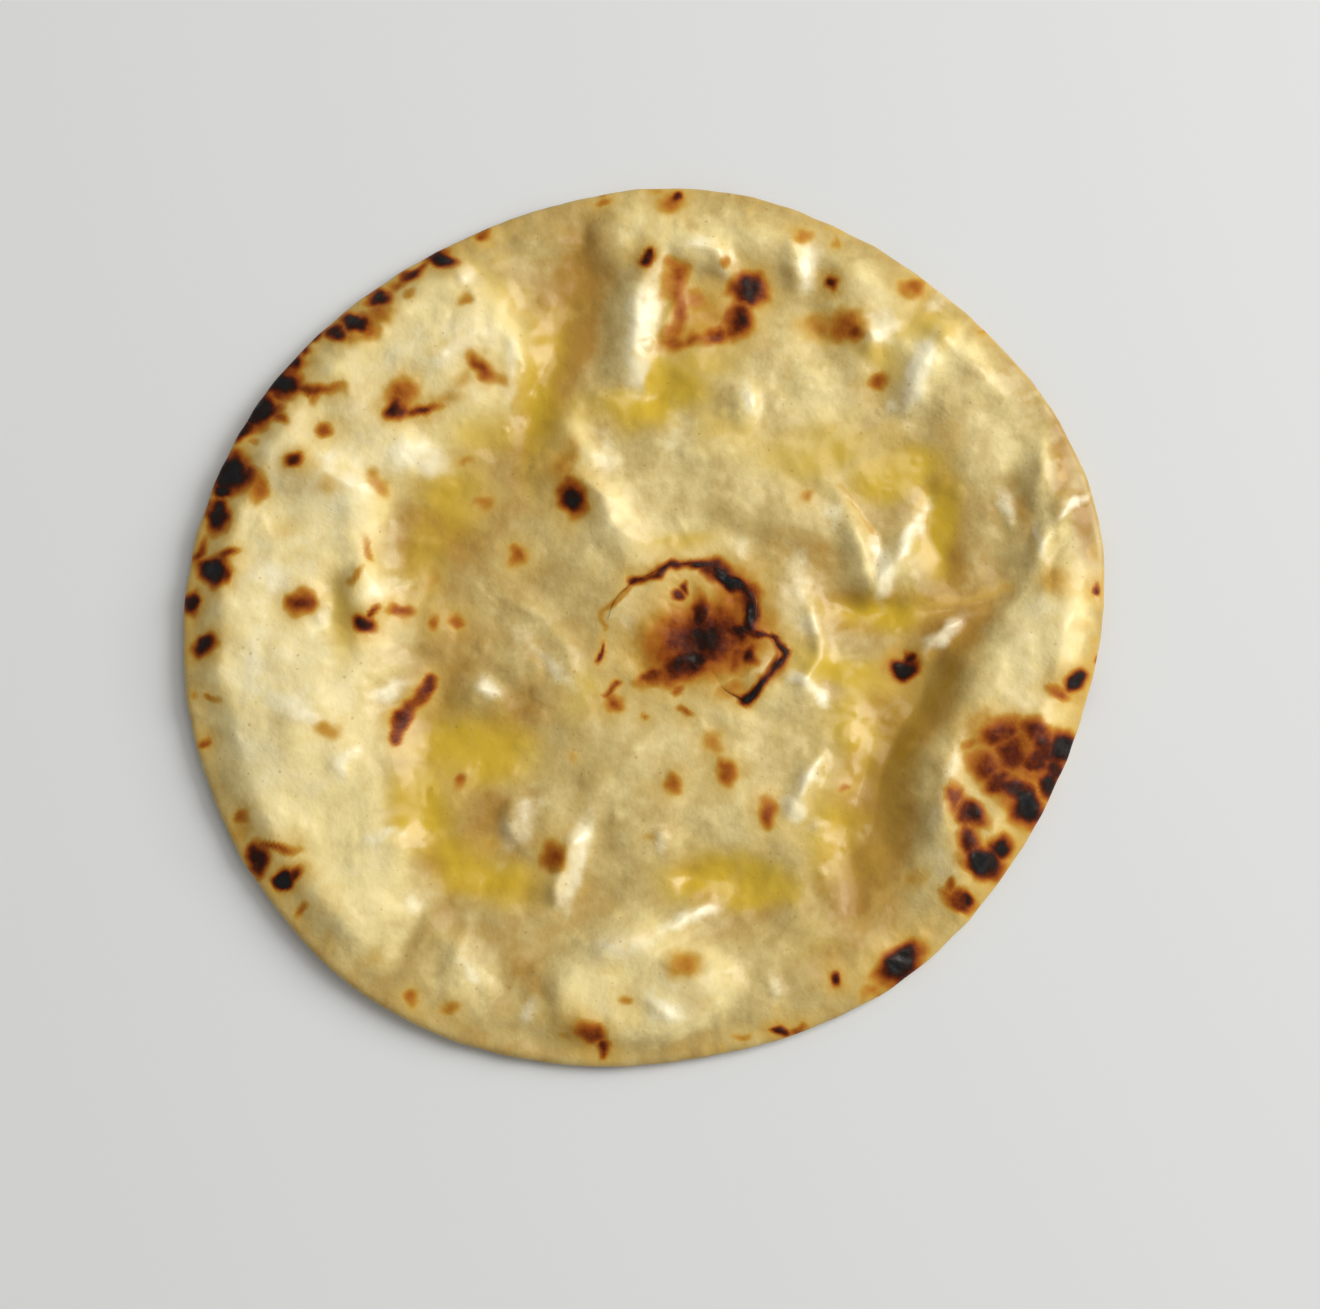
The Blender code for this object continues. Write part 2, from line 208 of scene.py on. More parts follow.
# Scorched spots: x, y, half length, half width, turn in degrees, burn from tan (0.2) to black (1), softness
SPOTS = (
    # black blisters and their brown fringes along the left rim
    (-0.45, 0.795, 0.032, 0.02, -30, 0.96, 0.3),
    (-0.515, 0.765, 0.035, 0.012, 36, 0.86, 0.4),
    (-0.553, 0.735, 0.022, 0.012, 20, 0.58, 0.5),
    (-0.52, 0.71, 0.013, 0.011, 0, 0.36, 0.5),
    (-0.59, 0.703, 0.025, 0.018, -20, 0.96, 0.3),
    (-0.585, 0.668, 0.028, 0.022, 0, 0.52, 0.7),
    (-0.638, 0.653, 0.028, 0.021, -20, 0.99, 0.3),
    (-0.608, 0.635, 0.018, 0.03, 0, 0.58, 0.5),
    (-0.68, 0.625, 0.022, 0.018, -20, 0.9, 0.35),
    (-0.65, 0.612, 0.034, 0.02, -20, 0.42, 0.7),
    (-0.736, 0.63, 0.023, 0.017, 10, 0.92, 0.3),
    (-0.752, 0.6, 0.012, 0.018, 0, 0.75, 0.4),
    (-0.775, 0.56, 0.02, 0.024, 45, 0.88, 0.35),
    (-0.8, 0.515, 0.042, 0.028, -18, 1.0, 0.3),
    (-0.73, 0.495, 0.05, 0.014, -4, 0.74, 0.45),
    (-0.722, 0.475, 0.018, 0.013, 40, 0.5, 0.6),
    (-0.845, 0.455, 0.036, 0.034, 55, 0.98, 0.3),
    (-0.873, 0.415, 0.03, 0.018, 40, 0.93, 0.3),
    (-0.805, 0.43, 0.02, 0.012, -20, 0.6, 0.45),
    (-0.85, 0.38, 0.012, 0.01, 0, 0.42, 0.5),
    (-0.905, 0.312, 0.036, 0.04, 0, 1.0, 0.3),
    (-0.925, 0.275, 0.022, 0.014, 0, 0.96, 0.3),
    (-0.87, 0.3, 0.022, 0.022, 0, 0.84, 0.4),
    (-0.842, 0.272, 0.018, 0.03, 0, 0.54, 0.45),
    (-0.935, 0.213, 0.02, 0.036, 0, 0.96, 0.3),
    (-0.975, 0.14, 0.012, 0.03, -20, 0.7, 0.45),
    (-0.94, 0.095, 0.036, 0.026, 0, 0.98, 0.3),
    (-0.905, 0.086, 0.012, 0.018, 0, 0.82, 0.4),
    (-0.912, 0.13, 0.026, 0.01, 15, 0.7, 0.45),
    (-0.988, 0.025, 0.013, 0.02, 0, 0.94, 0.3),
    (-0.957, -0.07, 0.025, 0.018, 0, 0.95, 0.3),
    (-0.94, -0.183, 0.02, 0.008, -20, 0.5, 0.5),
    (-0.985, -0.18, 0.009, 0.009, 0, 0.34, 0.5),
    (-0.958, -0.277, 0.012, 0.009, 15, 0.62, 0.4),
    # freckles on the left plates
    (-0.76, 0.33, 0.014, 0.013, 0, 0.84, 0.35),
    (-0.705, 0.4, 0.019, 0.012, 0, 0.64, 0.45),
    (-0.69, 0.275, 0.02, 0.015, 0, 0.27, 0.8),
    (-0.58, 0.285, 0.014, 0.024, 20, 0.4, 0.6),
    (-0.542, 0.452, 0.02, 0.02, 0, 0.86, 0.35),
    (-0.495, 0.447, 0.034, 0.01, 6, 0.8, 0.4),
    (-0.53, 0.485, 0.03, 0.03, 0, 0.58, 0.6),
    (-0.44, 0.47, 0.04, 0.02, 20, 0.3, 0.9),
    (-0.4, 0.52, 0.04, 0.015, 40, 0.26, 0.9),
    (-0.355, 0.543, 0.038, 0.017, -42, 0.66, 0.45),
    (-0.4, 0.695, 0.014, 0.012, 0, 0.4, 0.6),
    (-0.4, 0.34, 0.015, 0.012, 0, 0.36, 0.7),
    (-0.355, 0.25, 0.026, 0.012, 15, 0.42, 0.6),
    (-0.742, 0.022, 0.024, 0.02, 40, 0.76, 0.45),
    (-0.605, -0.027, 0.022, 0.013, -15, 0.84, 0.35),
    (-0.583, -0.005, 0.018, 0.008, 45, 0.76, 0.4),
    (-0.53, 0.007, 0.021, 0.01, 15, 0.62, 0.45),
    (-0.462, -0.018, 0.012, 0.012, 0, 0.56, 0.5),
    (-0.407, -0.012, 0.014, 0.018, -20, 0.56, 0.5),
    (-0.46, 0.08, 0.014, 0.03, 0, 0.3, 0.7),
    (-0.605, 0.14, 0.008, 0.026, 15, 0.42, 0.5),
    (-0.628, 0.075, 0.008, 0.022, -28, 0.4, 0.5),
    (-0.78, 0.18, 0.03, 0.02, 0, 0.18, 0.9),
    (-0.675, -0.258, 0.021, 0.014, -10, 0.38, 0.6),
    (-0.4, -0.365, 0.014, 0.016, 0, 0.55, 0.45),
    (-0.205, -0.525, 0.02, 0.032, 0, 0.6, 0.5),
    # lower left rim
    (-0.865, -0.44, 0.018, 0.01, 30, 0.58, 0.5),
    (-0.87, -0.47, 0.03, 0.025, 0, 0.3, 0.8),
    (-0.832, -0.53, 0.019, 0.03, 10, 0.88, 0.35),
    (-0.79, -0.508, 0.045, 0.009, -3, 0.66, 0.45),
    (-0.77, -0.575, 0.019, 0.018, 0, 1.0, 0.3),
    (-0.743, -0.565, 0.018, 0.012, 20, 0.82, 0.4),
    (-0.738, -0.64, 0.02, 0.008, 30, 0.5, 0.5),
    (-0.5, -0.83, 0.014, 0.014, 0, 0.52, 0.5),
    (-0.415, -0.85, 0.018, 0.012, -15, 0.42, 0.6),
    (-0.58, -0.745, 0.02, 0.015, 0, 0.2, 0.8),
    # near rim
    (-0.115, -0.903, 0.03, 0.018, -30, 0.74, 0.4),
    (-0.085, -0.935, 0.014, 0.015, 0, 0.78, 0.35),
    (-0.125, -0.905, 0.055, 0.036, -30, 0.34, 0.8),
    (-0.04, -0.838, 0.013, 0.007, -20, 0.42, 0.5),
    (-0.17, -0.912, 0.014, 0.012, 0, 0.32, 0.5),
    (0.085, -0.757, 0.03, 0.028, 0, 0.42, 0.5),
    (0.205, -0.905, 0.018, 0.008, 10, 0.42, 0.5),
    (0.29, -0.898, 0.017, 0.009, 0, 0.88, 0.35),
    (0.326, -0.893, 0.018, 0.007, 10, 0.62, 0.4),
    (0.41, -0.785, 0.012, 0.015, 20, 0.84, 0.35),
    (0.545, -0.755, 0.05, 0.03, 33, 0.99, 0.3),
    (0.488, -0.818, 0.022, 0.016, 30, 0.46, 0.6),
    (-0.365, 0.85, 0.012, 0.016, -30, 0.66, 0.5),
    (0.89, 0.066, 0.032, 0.026, 0, 0.32, 0.9),
    # the scorched shoulder on the right
    (0.68, -0.62, 0.034, 0.019, -18, 0.74, 0.35),
    (0.7, -0.618, 0.014, 0.01, 0, 0.9, 0.35),
    (0.658, -0.585, 0.01, 0.016, 0, 0.62, 0.4),
    (0.587, -0.575, 0.02, 0.02, 0, 0.32, 0.7),
    (0.76, -0.262, 0.042, 0.03, 10, 0.74, 0.35),
    (0.783, -0.308, 0.036, 0.028, -60, 0.76, 0.35),
    (0.836, -0.262, 0.03, 0.024, 0, 0.78, 0.35),
    (0.868, -0.296, 0.046, 0.03, -30, 0.84, 0.35),
    (0.905, -0.293, 0.031, 0.03, 0, 0.97, 0.3),
    (0.845, -0.322, 0.048, 0.024, -6, 0.78, 0.35),
    (0.892, -0.338, 0.024, 0.022, 0, 0.88, 0.35),
    (0.702, -0.288, 0.019, 0.011, 20, 0.47, 0.45),
    (0.73, -0.335, 0.034, 0.03, 0, 0.74, 0.35),
    (0.762, -0.366, 0.036, 0.026, -30, 0.76, 0.35),
    (0.872, -0.367, 0.024, 0.026, 0, 0.94, 0.3),
    (0.798, -0.388, 0.04, 0.026, -40, 0.88, 0.35),
    (0.826, -0.42, 0.042, 0.028, -40, 1.0, 0.3),
    (0.66, -0.402, 0.015, 0.029, 20, 0.72, 0.4),
    (0.703, -0.437, 0.032, 0.022, -20, 0.86, 0.35),
    (0.696, -0.495, 0.021, 0.028, 0, 0.86, 0.35),
    (0.733, -0.54, 0.038, 0.026, -20, 1.0, 0.3),
    (0.766, -0.505, 0.026, 0.024, 30, 0.98, 0.3),
    (0.815, -0.315, 0.1, 0.055, -30, 0.6, 0.6),
    (0.69, -0.44, 0.03, 0.08, 20, 0.24, 0.8),
    (0.64, -0.64, 0.07, 0.04, 35, 0.14, 0.9),
    (0.934, -0.148, 0.025, 0.019, 25, 1.0, 0.3),
    (0.893, -0.178, 0.026, 0.014, -25, 0.62, 0.45),
    (0.92, -0.17, 0.06, 0.042, 0, 0.28, 0.8),
    (0.983, -0.095, 0.01, 0.008, 0, 0.62, 0.4),
    (0.985, 0.06, 0.009, 0.01, 0, 0.8, 0.4),
    (0.565, -0.117, 0.024, 0.022, 0, 0.95, 0.35),
    (0.572, -0.088, 0.01, 0.014, 0, 0.82, 0.4),
    (0.56, -0.112, 0.036, 0.03, 0, 0.42, 0.6),
    (0.43, -0.38, 0.014, 0.009, -10, 0.44, 0.5),
    # far side
    (0.003, 0.793, 0.014, 0.018, 0, 0.92, 0.3),
    (0.06, 0.925, 0.027, 0.02, 0, 0.54, 0.5),
    (0.071, 0.932, 0.013, 0.011, 0, 0.86, 0.4),
    (0.02, 0.955, 0.02, 0.01, 0, 0.34, 0.7),
    (-0.09, 0.928, 0.018, 0.009, 5, 0.48, 0.5),
    (-0.093, 0.948, 0.009, 0.007, 0, 0.46, 0.5),
    (0.18, 0.784, 0.012, 0.011, 0, 0.44, 0.5),
    (0.228, 0.727, 0.031, 0.031, 0, 0.9, 0.4),
    (0.205, 0.655, 0.024, 0.038, -8, 0.84, 0.5),
    (0.165, 0.62, 0.026, 0.016, 0, 0.72, 0.5),
    (0.112, 0.705, 0.03, 0.022, 0, 0.46, 0.7),
    (0.14, 0.665, 0.075, 0.06, 0, 0.32, 0.6),
    (0.44, 0.64, 0.036, 0.028, 10, 0.55, 0.4),
    (0.456, 0.63, 0.015, 0.02, 20, 0.66, 0.45),
    (0.4, 0.64, 0.046, 0.026, -8, 0.4, 0.5),
    (0.412, 0.737, 0.014, 0.013, 0, 0.88, 0.35),
    (0.347, 0.845, 0.018, 0.017, 0, 0.46, 0.6),
    (0.42, 0.835, 0.01, 0.014, 0, 0.38, 0.6),
    (0.593, 0.727, 0.022, 0.021, 0, 0.52, 0.5),
    (0.51, 0.512, 0.02, 0.016, 30, 0.56, 0.5),
    (0.76, 0.638, 0.018, 0.01, 0, 0.5, 0.5),
    (0.85, 0.56, 0.01, 0.01, 0, 0.32, 0.5),
    (0.35, 0.262, 0.016, 0.01, 15, 0.4, 0.6),
    # round the middle
    (-0.157, 0.257, 0.028, 0.032, 0, 0.96, 0.35),
    (-0.18, 0.33, 0.028, 0.045, -20, 0.36, 0.7),
    (-0.275, 0.13, 0.018, 0.022, 0, 0.58, 0.5),
    (0.15, -0.282, 0.022, 0.02, 0, 0.41, 0.5),
    (0.172, -0.34, 0.018, 0.024, 20, 0.64, 0.45),
    (0.053, -0.368, 0.018, 0.014, 0, 0.5, 0.5),
    (0.262, -0.428, 0.014, 0.026, -8, 0.66, 0.45),
    (0.01, -0.482, 0.016, 0.01, 0, 0.27, 0.7),
    (-0.155, -0.315, 0.01, 0.012, 0, 0.28, 0.6),
    (-0.33, -0.5, 0.022, 0.02, 0, 0.3, 0.8),
    (-0.075, -0.193, 0.018, 0.014, 0, 0.62, 0.45),
    (0.07, -0.166, 0.014, 0.012, 0, 0.56, 0.5),
    (0.09, -0.213, 0.016, 0.008, -10, 0.56, 0.45),
    (0.004, -0.217, 0.008, 0.008, 0, 0.44, 0.5),
    (0.13, -0.055, 0.092, 0.056, 12, 0.96, 0.8),
    (0.12, -0.005, 0.018, 0.04, 0, 0.86, 0.4),
    (0.095, -0.105, 0.055, 0.032, 22, 0.9, 0.4),
    (0.02, -0.133, 0.036, 0.016, 35, 0.74, 0.4),
    (0.068, 0.04, 0.016, 0.012, 20, 0.84, 0.35),
    (0.09, 0.056, 0.008, 0.012, 0, 0.78, 0.35),
    (0.2, 0.03, 0.046, 0.06, 0, 0.6, 0.8),
    (0.205, -0.04, 0.032, 0.02, 0, 0.88, 0.4),
    (0.2, -0.095, 0.026, 0.036, 0, 0.68, 0.5),
    (0.226, -0.088, 0.017, 0.02, 0, 0.86, 0.5),
    (0.19, -0.165, 0.032, 0.018, 20, 0.42, 0.6),
    (0.125, -0.01, 0.13, 0.095, 10, 0.34, 0.8),
    (0.12, -0.055, 0.105, 0.07, 14, 0.6, 0.8),
    (0.225, 0.02, 0.026, 0.06, 8, 0.74, 0.6),
)

# Scorched lines: burn, half width, softness, points along the line
STREAKS = (
    (0.7, 0.016, 0.4, ((-0.465, -0.14), (-0.495, -0.19), (-0.53, -0.232), (-0.537, -0.275))),
    (0.58, 0.024, 1.0, ((0.074, 0.765), (0.076, 0.7), (0.078, 0.64), (0.055, 0.606))),
    (0.57, 0.021, 1.0, ((0.045, 0.606), (0.1, 0.61), (0.16, 0.618), (0.215, 0.625))),
    (0.84, 0.012, 0.7, ((-0.02, 0.073), (0.02, 0.092), (0.06, 0.108), (0.1, 0.112), (0.15, 0.1))),
    (0.97, 0.024, 0.7, ((0.15, 0.098), (0.195, 0.072), (0.228, 0.045), (0.234, 0.008), (0.228, -0.032))),
    (0.4, 0.009, 0.6, ((-0.02, 0.07), (-0.06, 0.035), (-0.09, 0.002), (-0.08, -0.04))),
    (0.7, 0.007, 0.45, ((-0.088, -0.065), (-0.1, -0.096))),
    (0.94, 0.011, 0.6, ((0.248, -0.048), (0.282, -0.062), (0.292, -0.09), (0.27, -0.126))),
    (0.92, 0.012, 0.6, ((0.27, -0.126), (0.25, -0.16), (0.215, -0.185))),
    (0.6, 0.01, 0.5, ((-0.06, -0.152), (-0.092, -0.176))),
    (0.26, 0.006, 0.8, ((0.43, 0.282), (0.465, 0.235), (0.5, 0.185))),
    (0.22, 0.01, 0.9, ((0.6, 0.01), (0.68, 0.032), (0.74, 0.045), (0.79, 0.062))),
)

# Where melted ghee has soaked in: centre x, y, half length, half width, turn in degrees, amount
GHEE = (
    (0.05, 0.51, 0.09, 0.05, -30, 1.0),
    (0.0, 0.46, 0.12, 0.05, 0, 0.9),
    (0.12, 0.56, 0.07, 0.04, 0, 0.7),
    (0.12, 0.67, 0.05, 0.05, 0, 0.9),
    (0.4, 0.36, 0.14, 0.06, 8, 0.7),
    (0.55, 0.31, 0.09, 0.05, 20, 0.9),
    (0.64, 0.2, 0.04, 0.1, 0, 0.8),
    (0.52, 0.01, 0.1, 0.04, 0, 0.9),
    (-0.42, 0.26, 0.08, 0.07, 0, 0.7),
    (-0.49, 0.14, 0.05, 0.1, 0, 0.6),
    (-0.38, -0.29, 0.12, 0.07, -10, 1.0),
    (-0.47, -0.42, 0.06, 0.1, 10, 0.9),
    (-0.36, -0.55, 0.12, 0.05, -22, 0.9),
    (0.19, -0.58, 0.13, 0.05, -6, 1.0),
    (0.44, -0.13, 0.11, 0.04, -14, 1.0),
    (0.46, -0.24, 0.06, 0.1, 0, 0.7),
    (0.4, -0.46, 0.06, 0.12, 10, 0.6),
    (-0.15, -0.19, 0.04, 0.06, 0, 0.5),
    (-0.66, -0.01, 0.03, 0.08, 8, 0.7),
    (0.09, 0.15, 0.06, 0.02, 0, 0.6),
    (0.61, 0.64, 0.08, 0.04, 10, 0.7),
    (0.53, 0.57, 0.07, 0.03, -30, 0.7),
    (-0.22, 0.58, 0.05, 0.12, -20, 0.6),
    (-0.36, 0.4, 0.07, 0.06, 0, 0.6),
    (0.59, -0.22, 0.05, 0.14, -28, 0.4),
    (0.52, -0.45, 0.05, 0.16, -10, 0.3),
    (0.22, 0.38, 0.18, 0.05, -24, 0.5),
    (-0.24, 0.44, 0.05, 0.16, 0, 0.6),
    (-0.3, 0.7, 0.1, 0.05, -40, 0.4),
    (0.36, -0.7, 0.1, 0.06, 0, 0.3),
)

# Painted highlights: pale patches on the crests where the stretched skin catches the light; they also get a
# slight rise and more gloss: centre x, y, half length, half width, turn, amount
HIGHLIGHT_CRESTS = (
    (-0.39, 0.75, 0.045, 0.018, -52, 0.8),
    (-0.405, 0.58, 0.075, 0.02, 32, 0.75),
    (-0.295, 0.54, 0.014, 0.07, -4, 0.75),
    (-0.5, 0.345, 0.06, 0.03, -14, 1.0),
    (-0.635, 0.287, 0.034, 0.014, -30, 0.8),
    (-0.68, 0.33, 0.016, 0.03, -20, 0.6),
    (-0.005, 0.65, 0.085, 0.03, 76, 1.0),
    (-0.02, 0.545, 0.045, 0.022, 80, 0.9),
    (0.015, 0.76, 0.04, 0.024, 60, 0.75),
    (0.122, 0.824, 0.04, 0.013, 4, 0.6),
    (0.182, 0.775, 0.046, 0.02, -52, 0.9),
    (0.36, 0.78, 0.052, 0.024, 84, 0.95),
    (0.512, 0.635, 0.038, 0.03, 10, 1.0),
    (0.6, 0.53, 0.075, 0.024, 70, 1.0),
    (0.54, 0.465, 0.02, 0.02, 0, 0.6),
    (0.645, 0.695, 0.024, 0.016, 60, 0.6),
    (0.228, 0.47, 0.038, 0.013, -76, 0.8),
    (0.522, 0.085, 0.048, 0.02, 88, 1.0),
    (0.505, 0.14, 0.05, 0.013, -72, 0.85),
    (0.572, 0.165, 0.075, 0.014, 58, 0.85),
    (0.86, 0.15, 0.038, 0.01, -78, 0.8),
    (0.93, 0.235, 0.055, 0.009, 42, 0.75),
    (0.785, 0.24, 0.036, 0.014, -76, 0.7),
    (0.32, 0.05, 0.075, 0.03, 78, 0.75),
    (0.345, -0.02, 0.035, 0.03, 0, 0.6),
    (0.65, -0.045, 0.055, 0.016, 42, 0.9),
    (0.345, -0.152, 0.05, 0.013, -24, 0.9),
    (0.38, -0.18, 0.022, 0.012, -50, 0.9),
    (0.355, -0.355, 0.046, 0.013, 52, 0.9),
    (0.318, -0.42, 0.022, 0.024, 0, 0.9),
    (0.365, -0.46, 0.016, 0.014, 0, 0.6),
    (0.685, -0.27, 0.09, 0.016, 62, 0.55),
    (0.648, -0.375, 0.08, 0.016, 72, 0.7),
    (0.088, -0.66, 0.068, 0.015, 22, 0.85),
    (0.02, -0.7, 0.04, 0.012, 30, 0.6),
    (0.04, -0.845, 0.046, 0.018, -40, 0.85),
    (0.28, -0.81, 0.022, 0.022, 40, 0.6),
    (0.035, -0.492, 0.012, 0.028, 0, 0.55),
    (-0.06, -0.712, 0.055, 0.014, 4, 0.55),
    (-0.15, -0.535, 0.085, 0.021, 76, 1.0),
    (-0.27, -0.46, 0.08, 0.03, 62, 0.55),
    (-0.375, -0.77, 0.036, 0.014, -50, 0.6),
    (-0.248, -0.855, 0.03, 0.014, 60, 0.55),
    (-0.345, -0.162, 0.026, 0.016, -50, 1.0),
    (-0.552, -0.172, 0.038, 0.018, 26, 1.0),
    (-0.64, -0.318, 0.034, 0.017, 52, 1.0),
    (-0.74, -0.215, 0.065, 0.02, -30, 0.85),
    (-0.845, -0.09, 0.02, 0.07, 0, 0.6),
    (-0.8, 0.075, 0.06, 0.03, -20, 0.7),
    (-0.7, -0.005, 0.016, 0.022, 0, 0.8),
    (-0.57, 0.055, 0.04, 0.024, 20, 0.6),
    (-0.56, -0.48, 0.04, 0.016, 10, 0.6),
    (-0.495, -0.625, 0.018, 0.022, 0, 0.55),
    (-0.225, -0.09, 0.09, 0.018, -46, 0.55),
    (-0.02, -0.02, 0.045, 0.065, 0, 0.4),
    (-0.09, 0.35, 0.03, 0.09, 10, 0.45),
    (0.08, 0.41, 0.035, 0.05, 0, 0.4),
    (0.41, 0.225, 0.024, 0.03, 0, 0.5),
    (0.21, 0.15, 0.022, 0.03, 0, 0.45),
)

# Low places browned as painted shade, together with the thinner dough's own colour: centre x, y, half length,
# half width, turn, amount
SHADED_HOLLOWS = (
    (0.575, -0.31, 0.33, 0.1, 70, 0.85),
    (0.625, -0.15, 0.17, 0.06, 56, 0.5),
    (-0.13, 0.72, 0.18, 0.05, 82, 0.45),
    (-0.22, 0.5, 0.19, 0.055, 80, 0.55),
    (-0.33, 0.76, 0.11, 0.04, -44, 0.35),
    (-0.5, -0.43, 0.12, 0.05, 100, 0.5),
    (-0.33, -0.44, 0.12, 0.07, -20, 0.35),
    (-0.31, -0.25, 0.12, 0.06, 30, 0.3),
    (-0.35, -0.56, 0.16, 0.04, -22, 0.4),
    (-0.42, -0.08, 0.06, 0.1, 0, 0.35),
    (-0.37, 0.18, 0.1, 0.08, 0, 0.3),
    (-0.65, 0.01, 0.03, 0.1, 12, 0.45),
    (-0.8, -0.25, 0.14, 0.03, -34, 0.3),
    (0.52, 0.01, 0.13, 0.04, -4, 0.45),
    (0.66, 0.2, 0.04, 0.13, 0, 0.35),
    (0.66, 0.48, 0.035, 0.13, 0, 0.35),
    (0.25, 0.19, 0.15, 0.03, -20, 0.35),
    (0.9, 0.3, 0.022, 0.12, -4, 0.6),
    (0.825, 0.22, 0.02, 0.08, 14, 0.5),
    (0.955, 0.19, 0.022, 0.07, 14, 0.6),
    (-0.47, -0.7, 0.11, 0.03, 64, 0.35),
    (-0.22, -0.82, 0.1, 0.03, -54, 0.35),
    (0.4, -0.74, 0.12, 0.05, 30, 0.3),
)

SPREAD = 1.26  # how much wider the scorch has crept than each listed spot
SPOT_BLUR = 0.42  # softness that each spot has beyond its own
HALO = 0.022  # how much wider than its spot a browned halo is
HALO_BURN = 0.34  # share of its spot's burn that a halo has
STREAK_BLUR = 0.35  # softness that each scorched line has beyond its own
STREAK_HALO = 1.6  # how far a line's halo reaches, in its own widths
GHEE_SPREAD = 1.1  # how much wider the ghee has soaked than each listed place
GHEE_SOFTNESS, CREST_SOFTNESS, HOLLOW_SOFTNESS = 0.95, 1.05, 0.80
HOLLOW_SHADE = 0.75  # how far the tone drops in a hollow, as painted shade and thinner dough

RIM_RINGS = (7, 4)  # rings that round the rim over, above and below
TOP_CUTS, UNDER_CUTS = (12, 11), (11, 5)  # cuts of the two rounds of division, for 156 and 72 rings
RIM_TURN = math.radians(84)  # how far round the rim each skin goes
REST_SHARE = 0.74  # share of the radius that lies flat on the table
RIM_WAVES = ((2, 0.00054, 0.8), (5, 0.00036, 0.0))  # waves round the edge, height, start angle
PUFF_MARGIN = 0.10  # share of the radius over which the puffed skin comes down to the rim
THIN_DEPTH, FULL_RISE = 0.0019, 0.0065  # depth of the darkest tone, where painted shade lies together with the thinnest dough, and the rise from there to the puffed tone
TOAST = 0.10  # burn of the tan clouds between the spots, and as much again at the rim
CHAR_RISE = 0.00030  # how far the charred blisters stand up
RIM_CREASE = 0.00030  # height of the creases that run in from the rim
CREST_RISE, CREST_UNEVEN = 0.00030, 0.00016
UNDER_HOLLOW = 0.0005  # how far the underside's hollows are off the table

# Outline of the middle blister's torn skin, and how far it stands off the crust there in mm
BLISTER = (
    ((-0.1, -0.095, -0.3), (-0.088, -0.03, -0.1), (-0.062, 0.03, 0.1), (-0.02, 0.072, 0.5))
    + ((0.04, 0.098, 0.6), (0.1, 0.113, 0.6), (0.17, 0.092, 0.7), (0.236, 0.052, 0.8))
    + ((0.243, 0.0, 0.8), (0.24, -0.038, 0.6), (0.278, -0.056, 1.0), (0.293, -0.09, 1.1))
    + ((0.272, -0.13, 1.1), (0.25, -0.16, 0.9), (0.214, -0.187, 0.5), (0.165, -0.16, 0.0))
    + ((0.1, -0.165, -0.3), (0.03, -0.165, -0.3), (-0.04, -0.14, -0.3))
)
BLISTER_CENTRE = (0.09, -0.02)
BLISTER_CUTS = (5, 6)
BLISTER_STAND = 0.15  # how far the middle of the skin stands off the crust, in mm
BLISTER_PUCKER = 0.10  # mm
BLISTER_RAG = 0.005  # how ragged the torn edge is

# Where the skins lie on the bake map: the middle of each disc on both axes, and its radius
TOP_MAP, UNDER_MAP = (0.418, 0.412), (0.830, 0.164)
SEAM_STRIP, SEAM_SPARE = 0.0005, 0.0006  # width of the strip that joins the skins, and the room kept for it

# Soft square lights: name, azimuth and elevation in degrees, distance, side, power in watts, colour
LIGHTS = (
    ("window_light", 18, 35, 2.4, 1.5, 52.0, (1.0, 0.985, 0.95)),
    ("far_light", 40, 64, 2.2, 1.0, 9.0, (1.0, 0.99, 0.97)),
)
ROOM_COLOUR, ROOM_STRENGTH = (1.0, 0.965, 0.90, 1.0), 0.34
FLOOR_SIZE, FLOOR_DROP = 6, 0.0001  # the floor's side, and how far below the bread it lies
CAMERA_ELEVATION, CAMERA_DISTANCE, CAMERA_LENS = 83, 0.53, 70  # degrees, metres, millimetres
CAMERA_AIM = (0.0031, -0.0077, 0.004)


def length(label, about, size):
    """A length setting, in metres."""
    return bpy.props.FloatProperty(name=label, description=about, default=size, unit="LENGTH")


def tint(label, about, colour):
    """A colour setting, in display values."""
    return bpy.props.FloatVectorProperty(
        name=label, description=about, default=colour, size=3, min=0, max=1, subtype="COLOR_GAMMA"
    )


class ChapatiShape(bpy.types.PropertyGroup):
    """Sizes of the bread's skin that the solid leaves open."""

    rim: length("Rim thickness", "Thickness of the bread at its edge", 0.0028)
    rim_round: length("Rim round", "How far in from the edge the rim rounds over", 0.0019)
    pillow: length("Pillow", "How much thicker the middle is than the rim", 0.0010)
    lift: length("Rim lift", "Mean lift of the underside at the edge", 0.0014)
    cobble: length("Cobble", "Height of the slow unevenness of the skin", 0.0010)
    wrinkle: length("Wrinkle", "Height of the fine wrinkles in the skin", 0.00017)
    bubble: length("Bubble", "Height of the small bubbles in the skin", 0.00035)
    flake: length("Blister skin", "Thickness of the torn skin of the blister", 0.00028)


